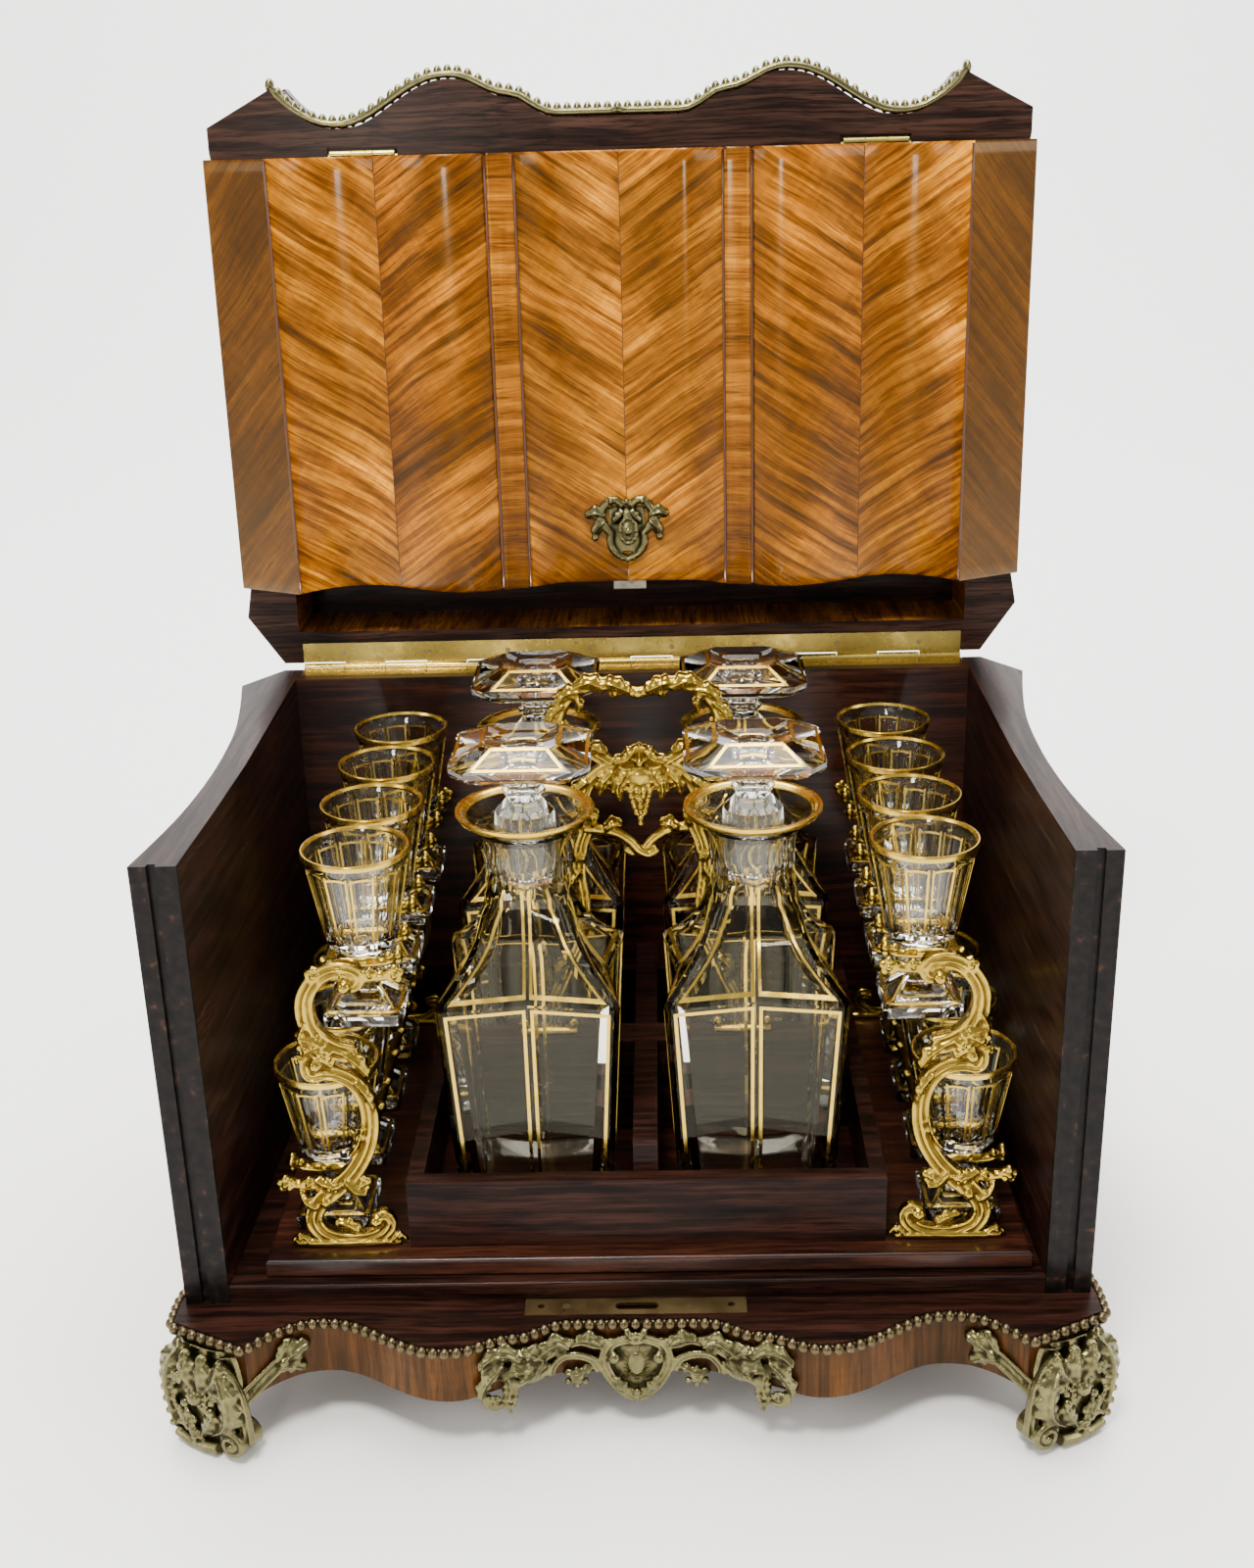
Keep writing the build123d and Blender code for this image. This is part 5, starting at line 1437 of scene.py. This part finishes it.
def lines_on_glass(g, x, y, zr):
    def T(r, th, z):
        return P(x + r * cos(th), y + r * sin(th), zr + z)

    # rim
    rim = []
    for r, z in ((17.9, -0.9), (18.25, 0.10), (18.7, 0.22), (19.1, 0.12),
                 (19.36, -0.5), (19.22, -2.1)):
        rim.append([T(r, th, z) for th in TH])
    band_round(g, rim)
    # an outlined panel on every flute
    w = 2 * pi / 12
    zs = [-5.2 - 26.5 * i / 8 for i in range(9)]

    def rad(z, th):
        r = float(np.interp(z, [-37.4, -36, -28, -18, -9, -5.4],
                            [12.0, 12.8, 14.2, 16.05, 17.7, 18.35]))
        return polar(12, r, th) + 0.10

    for k in range(12):
        c = w * k + w / 2
        for e in (-1, 1):
            a, b = [], []
            for z in zs:
                r = rad(z, c)
                t1 = c + e * (w / 2 - 0.45 / r)
                t2 = c + e * (w / 2 - 1.15 / r)
                a.append(T(rad(z, t1), t1, z))
                b.append(T(rad(z, t2), t2, z))
            strip(g, a, b)
        a, b = [], []
        for i in range(9):
            t = c + (i / 4 - 1) * (w / 2 - 0.45 / 18)
            dz = 0.5 * (i / 4 - 1) ** 2
            a.append(T(rad(-5.5, t), t, -5.5 - dz))
            b.append(T(rad(-6.3, t), t, -6.3 - dz))
        strip(g, a, b)
    # outline round the top of the foot
    for h1, h2, z in ((13.35, 12.25, -59.45),):
        a = [T(sq(th, h1, 1.5), th, z) for th in TH + [TH[0]]]
        b = [T(sq(th, h2, 1.5), th, z + 0.28) for th in TH + [TH[0]]]
        strip(g, a, b)
    for k in range(4):
        th = pi / 4 + k * pi / 2
        a, b = [], []
        for z, h in ((-58.8, 11.7), (-55, 9.0), (-51.6, 6.6)):
            r = sq(th, h, 1.5) + 0.12
            a.append(T(r, th - 0.4 / r, z))
            b.append(T(r, th + 0.4 / r, z))
        strip(g, a, b)


for sx, sn in ((-1, "left"), (1, "right")):
    for row, rz, tier in ((100.2, 165.0, "upper"), (117.5, 80.0, "lower")):
        for i, gy in enumerate((38, 80, 122, 164), 1):
            nm = f"glass_{sn}_{tier}_{i}"
            bag = Bag()
            rings_to_mesh(bag, glass_rings(CX + sx * row, gy, rz))
            ob = facet(bag.out(nm + "_crystal", [glass_thin]), 14)
            done(ob, "tray", [nm])
            g = Bag()
            lines_on_glass(g, CX + sx * row, gy, rz)
            ob = facet(g.out(nm + "_gilding", [gold_line]), 50)
            done(ob, "tray", [nm])


# -- decanters
def pinched(h, notch, cut):
    q = [(h, -h + cut), (h - notch, 0), (h, h - cut)]
    pts = []
    for k in range(4):
        c, s = round(cos(k * pi / 2)), round(sin(k * pi / 2))
        pts += [(x * c - y * s, x * s + y * c) for x, y in q]
    return pts


def body_section(z):
    """(half size, notch, cut, roundness, radius) at a height."""
    rows = [
        (14.6, 27.4, 3.0, 2.6, 0, 0), (15.6, 28.1, 3.0, 2.2, 0, 0),
        (42.0, 29.6, 3.8, 2.2, 0, 0), (106.6, 33.25, 5.0, 2.4, 0, 0),
        (107.6, 32.6, 5.0, 2.6, 0, 0), (110.5, 29.6, 4.4, 2.9, 0, 0),
        (115.5, 25.3, 3.6, 3.3, 0, 0), (120.0, 22.0, 2.8, 3.7, 0, 0),
        (126.0, 18.9, 2.0, 4.1, 0, 0), (134.5, 16.4, 1.1, 4.6, 0, 0),
        (142.0, 15.6, 0.5, 5.2, 0.3, 15.6), (146.0, 15.4, 0.2, 5.4, 0.85, 15.4),
        (148.0, 15.3, 0.0, 5.4, 1.0, 15.3), (158.0, 15.3, 0, 5.4, 1, 15.3),
        (162.0, 16.0, 0, 5, 1, 16.0), (166.5, 19.8, 0, 5, 1, 19.8),
        (169.0, 23.2, 0, 5, 1, 23.2), (170.6, 24.7, 0, 5, 1, 24.7),
        (171.3, 24.8, 0, 5, 1, 24.8),
    ]
    zz = [r[0] for r in rows]
    return [float(np.interp(z, zz, [r[k] for r in rows])) for k in range(1, 6)]


def ring_points(h, notch, cut, rnd, r, per=10, flute=0.0):
    poly = pinched(h, notch, cut)
    out = []
    for i in range(12):
        a, b = poly[i], poly[(i + 1) % 12]
        k = per if i % 3 != 2 else 2
        for j in range(k):
            t = j / k
            q = (a[0] + (b[0] - a[0]) * t, a[1] + (b[1] - a[1]) * t)
            if rnd > 0:
                th = atan2(q[1], q[0])
                f = r if not flute else r * (1 - flute * (1 - polar(12, 1, th)) * 2.2)
                q = (q[0] * (1 - rnd) + f * cos(th) * rnd,
                     q[1] * (1 - rnd) + f * sin(th) * rnd)
            out.append(q)
    return out


OUT_Z = [14.6, 15.6, 42, 75, 106.6, 107.6, 109, 110.5, 113, 115.5, 118, 120,
         123, 126, 130, 134.5, 138, 142, 144, 146, 148, 152, 154, 156, 158, 160, 162,
         164, 166.5, 169, 170.6, 171.3]
IN_ROWS = [(22.0, 21.0, 2.2, 4), (24.0, 23.4, 2.4, 3.4), (60, 26.2, 3.4, 3.4),
           (104.5, 29.4, 4.2, 3.6), (107.5, 26.6, 3.6, 4.0),
           (113.5, 22.2, 3.0, 4.4), (120, 18.0, 2.0, 4.6),
           (128, 14.6, 1.0, 4.8)]


def decanter(name, x, y):
    bag = Bag()
    rings = []
    for z in OUT_Z:
        fl = float(np.interp(z, [140, 144, 152, 156], [0.0, 1.0, 1.0, 0.0]))
        rings.append([P(x + a, y + b, z) for a, b in
                      ring_points(*body_section(z), flute=fl)])
    rings.append([P(x + a * 0.94, y + b * 0.94, 171.5) for a, b in
                  ring_points(*body_section(171.3))])
    for z, r in ((170.8, 21.8), (167.5, 18.6), (164.5, 14.2), (161.0, 12.3),
                 (150, 11.8), (140.0, 11.9)):
        rings.append([P(x + a, y + b, z) for a, b in
                      ring_points(r, 0, 4, 1.0, r)])
    for z, h, nt, ct in reversed(IN_ROWS):
        rings.append([P(x + a, y + b, z) for a, b in
                      ring_points(h, nt, ct, 0, 0)])
    rings.append([P(x + a * 0.3, y + b * 0.3, 21.2) for a, b in
                  ring_points(21, 2.2, 4, 0, 0)])
    rings_to_mesh(bag, rings)
    ob = facet(bag.out(name + "_crystal", [glass]), 16)
    done(ob, name, [name])
    # gilding: outlines on the facets
    g = Bag()

    def corner(z, i):
        h, nt, ct, rnd, r = body_section(z)
        q = pinched(h, nt, ct)[i % 12]
        if rnd > 0:
            th = atan2(q[1], q[0])
            q = (q[0] * (1 - rnd) + r * cos(th) * rnd,
                 q[1] * (1 - rnd) + r * sin(th) * rnd)
        return Vector((q[0], q[1], 0))

    def on(i, z, mm, side, lift=0.14):
        """mm inwards from edge i (side 0) or edge i + 1 (side 1)."""
        a, b = corner(z, i), corner(z, i + 1)
        d = (b - a)
        L = d.length
        d = d / L
        q = a + d * mm if side == 0 else b - d * mm
        nrm = Vector((d.y, -d.x, 0))
        q = q + nrm * lift
        return P(x + q.x, y + q.y, z)

    lowz = [16.5, 42, 75, 104.8]
    topz = [108.6, 110.5, 113, 115.5, 118, 120, 123, 126, 130, 134.5, 138,
            142, 145.5]
    for i in range(12):
        if i % 3 == 2:
            continue
        for zs, ins, w in ((lowz, 0.9, 1.25), (topz, 0.7, 1.1)):
            for side in (0, 1):
                strip(g, [on(i, z, ins, side, 0.16) for z in zs],
                      [on(i, z, ins + w, side, 0.16) for z in zs])
        for z0, z1, ins in ((104.9, 103.6, 0.9), (108.4, 109.8, 0.7)):
            n = 10
            a = corner(z0, i)
            L0 = (corner(z0, i + 1) - a).length
            L1 = (corner(z1, i + 1) - corner(z1, i)).length
            strip(g, [on(i, z0, ins + (L0 - 2 * ins) * k / n, 0, 0.16)
                      for k in range(n + 1)],
                  [on(i, z1, ins + (L1 - 2 * ins) * k / n, 0, 0.16)
                   for k in range(n + 1)])
    # broad band on the lip
    rim = []
    for r, z in ((21.0, 169.9), (22.6, 171.35), (23.9, 171.75), (24.95, 171.6),
                 (25.0, 170.7), (23.6, 168.9)):
        rim.append([P(x + r * cos(th), y + r * sin(th), z) for th in TH])
    band_round(g, rim)
    ob = facet(g.out(name + "_gilding", [gold_line]), 50)
    done(ob, name, [name])


def stopper(name, x, y):
    bag = Bag()
    rings = []
    T = lambda r, th, z: P(x + r * cos(th), y + r * sin(th), z)
    for z, r in ((143, 8.4), (144, 9.4), (163.2, 11.0), (167.5, 11.4),
                 (171.0, 10.6)):
        rings.append([T(r, th, z) for th in TH])
    for z, r in ((172.6, 9.6), (173.6, 8.4), (175.6, 6.6), (177.4, 6.4),
                 (178.2, 8.0), (179.4, 8.0), (180.2, 6.6), (182.6, 7.0)):
        rings.append([T(polar(8, r, th), th, z) for th in TH])
    for z, h, c in ((184.0, 7.6, 4.2), (188.4, 20.6, 6.0), (190.0, 23.6, 6.4),
                    (191.8, 24.8, 6.6), (193.8, 24.8, 6.6), (199.4, 12.4, 2.4)):
        rings.append([T(sq(th, h, c), th, z) for th in TH])
    rings_to_mesh(bag, rings)
    ob = facet(bag.out(name + "_crystal", [glass_cut]), 12)
    done(ob, name, [name])
    g = Bag()

    # outline on each bevel of the cap
    def bev(k, u, v):
        """u along the side -1..1, v from girdle (0) to table (1)."""
        h = 24.8 + (12.4 - 24.8) * v
        c = 6.6 + (2.4 - 6.6) * v
        z = 193.8 + (199.4 - 193.8) * v
        a, b = h, u * (h - c)
        cc, ss = cos(k * pi / 2), sin(k * pi / 2)
        return P(x + a * cc - b * ss, y + a * ss + b * cc, z + 0.13)

    for k in range(4):
        for u0, u1, v0, v1 in ((-0.95, 0.95, 0.07, 0.17), (-0.93, 0.93, 0.84, 0.95)):
            n = 8
            strip(g, [bev(k, u0 + (u1 - u0) * i / n, v0) for i in range(n + 1)],
                  [bev(k, u0 + (u1 - u0) * i / n, v1) for i in range(n + 1)])
        for e in (-1, 1):
            strip(g, [bev(k, e * 0.955, v) for v in (0.07, 0.5, 0.95)],
                  [bev(k, e * (0.955 - 0.07 - 0.03 * j), v)
                   for j, v in enumerate((0.07, 0.5, 0.95))])
    ob = facet(g.out(name + "_gilding", [gold_line]), 50)
    done(ob, name, [name])


for sx, sn in ((-1, "left"), (1, "right")):
    for dy, pl in ((55, "front"), (143, "rear")):
        decanter(f"decanter_{pl}_{sn}", CX + sx * 41, dy)
        stopper(f"stopper_{pl}_{sn}", CX + sx * 41, dy)

# -------------------------------------------------------------- wood pieces
for n in ("plinth_top_board", "decanter_box", "floor_riser"):
    paint(n, rose)
paint("tray_board", rose_red)
paint("decanter_dividers", rose)
paint("back_wall", back_m)
paint("lid_frame", lid_m)
for n in ("case_hinge_leaf", "lid_hinge_leaf", "panel_hinge_rail_leaves",
          "panel_hinge_panel_leaves", "lock_case"):
    paint(n, hinge_m)
paint("strike_plate", strike_m)
for n in ("hinge_pin", "panel_hinge_pins", "case_screws_and_nails",
          "lid_screws", "panel_screws"):
    paint(n, screw_m)
paint("lock_bolt", steel)
paint("plinth_frieze", v_frieze)
paint("lid_top_board", lid_top_m)
paint("side_wall_left", wall_l)
paint("side_wall_right", wall_r)

# ------------------------------------------------------------ stage, camera
fm, nt, bs = new_mat("studio_floor")
bs.inputs["Base Color"].default_value = (0.96, 0.96, 0.96, 1)
bs.inputs["Roughness"].default_value = 0.9
bs.inputs["Specular IOR Level"].default_value = 0.1
prof = [(-4.0, 0.0), (1.4, 0.0)]
prof += [(1.4 + 1.2 * sin(radians(a)), 1.2 - 1.2 * cos(radians(a)))
         for a in range(6, 91, 6)]
prof += [(2.6, 4.0)]
vs = [(x, y, z) for y, z in prof for x in (-5.0, 5.0)]
floor = mesh("studio_floor", vs,
             [(2 * i, 2 * i + 1, 2 * i + 3, 2 * i + 2)
              for i in range(len(prof) - 1)], fm, True)

world = bpy.data.worlds.new("studio")
bpy.context.scene.world = world
world.use_nodes = True
wb = world.node_tree.nodes["Background"]
wb.inputs[0].default_value = (1, 0.985, 0.96, 1)
wb.inputs[1].default_value = 0.62


def area(name, loc, target, size, energy, color=(1, 1, 1), size_y=None):
    ld = bpy.data.lights.new(name, "AREA")
    ld.shape = "RECTANGLE"
    ld.size, ld.size_y = size, size_y or size
    ld.energy, ld.color = energy, color
    ob = bpy.data.objects.new(name, ld)
    ob.location = loc
    d = (Vector(target) - Vector(loc)).normalized()
    ob.rotation_euler = d.to_track_quat("-Z", "Y").to_euler()
    bpy.context.scene.collection.objects.link(ob)
    return ob


area("key_overhead", (-0.25, -0.75, 1.75), (0, 0, 0.25), 0.36, 34,
     (1, 0.95, 0.86))
area("top_soft", (0.0, 0.6, 2.6), (0, 0.3, 0), 2.2, 125, (1, 0.98, 0.95))
area("fill_left", (-1.7, -0.9, 0.9), (0, 0, 0.25), 0.7, 10, (1, 0.97, 0.92))
area("fill_right", (1.7, -0.7, 0.9), (0, 0, 0.25), 0.7, 10, (1, 0.97, 0.92))
area("front_lamp", (-0.35, -1.6, 0.50), (0, 0, 0.35), 0.22, 4.5,
     (1, 0.95, 0.86), 0.10)
area("backdrop_wash", (0, 1.2, 2.9), (0, 2.6, 0.8), 3.0, 110, (1, 1, 1), 0.5)

cam = bpy.data.cameras.new("cam")
cam.sensor_fit = "HORIZONTAL"
cam.sensor_width = 36.0
cam.lens = 36.0 * 1871.08 / 1280.0
co = bpy.data.objects.new("cam", cam)
yaw, pitch, roll = 0.0239, -0.3719, 0.0270
c, s = cos(yaw), sin(yaw)
Rz = Matrix(((c, -s, 0), (s, c, 0), (0, 0, 1)))
c, s = cos(pitch), sin(pitch)
Rx = Matrix(((1, 0, 0), (0, c, -s), (0, s, c)))
c, s = cos(roll), sin(roll)
Ry = Matrix(((c, 0, s), (0, 1, 0), (-s, 0, c)))
M = Rz @ Rx @ Ry
right, fwd, up = (Vector([M[r][k] for r in range(3)]) for k in range(3))
mw = Matrix.Identity(4)
for r in range(3):
    mw[r][0], mw[r][1], mw[r][2] = right[r], up[r], -fwd[r]
loc = Vector((15.14, -554.66 + F, 417.80 + ZP)) * MM
for r in range(3):
    mw[r][3] = loc[r]
co.matrix_world = mw
bpy.context.scene.collection.objects.link(co)
bpy.context.scene.camera = co
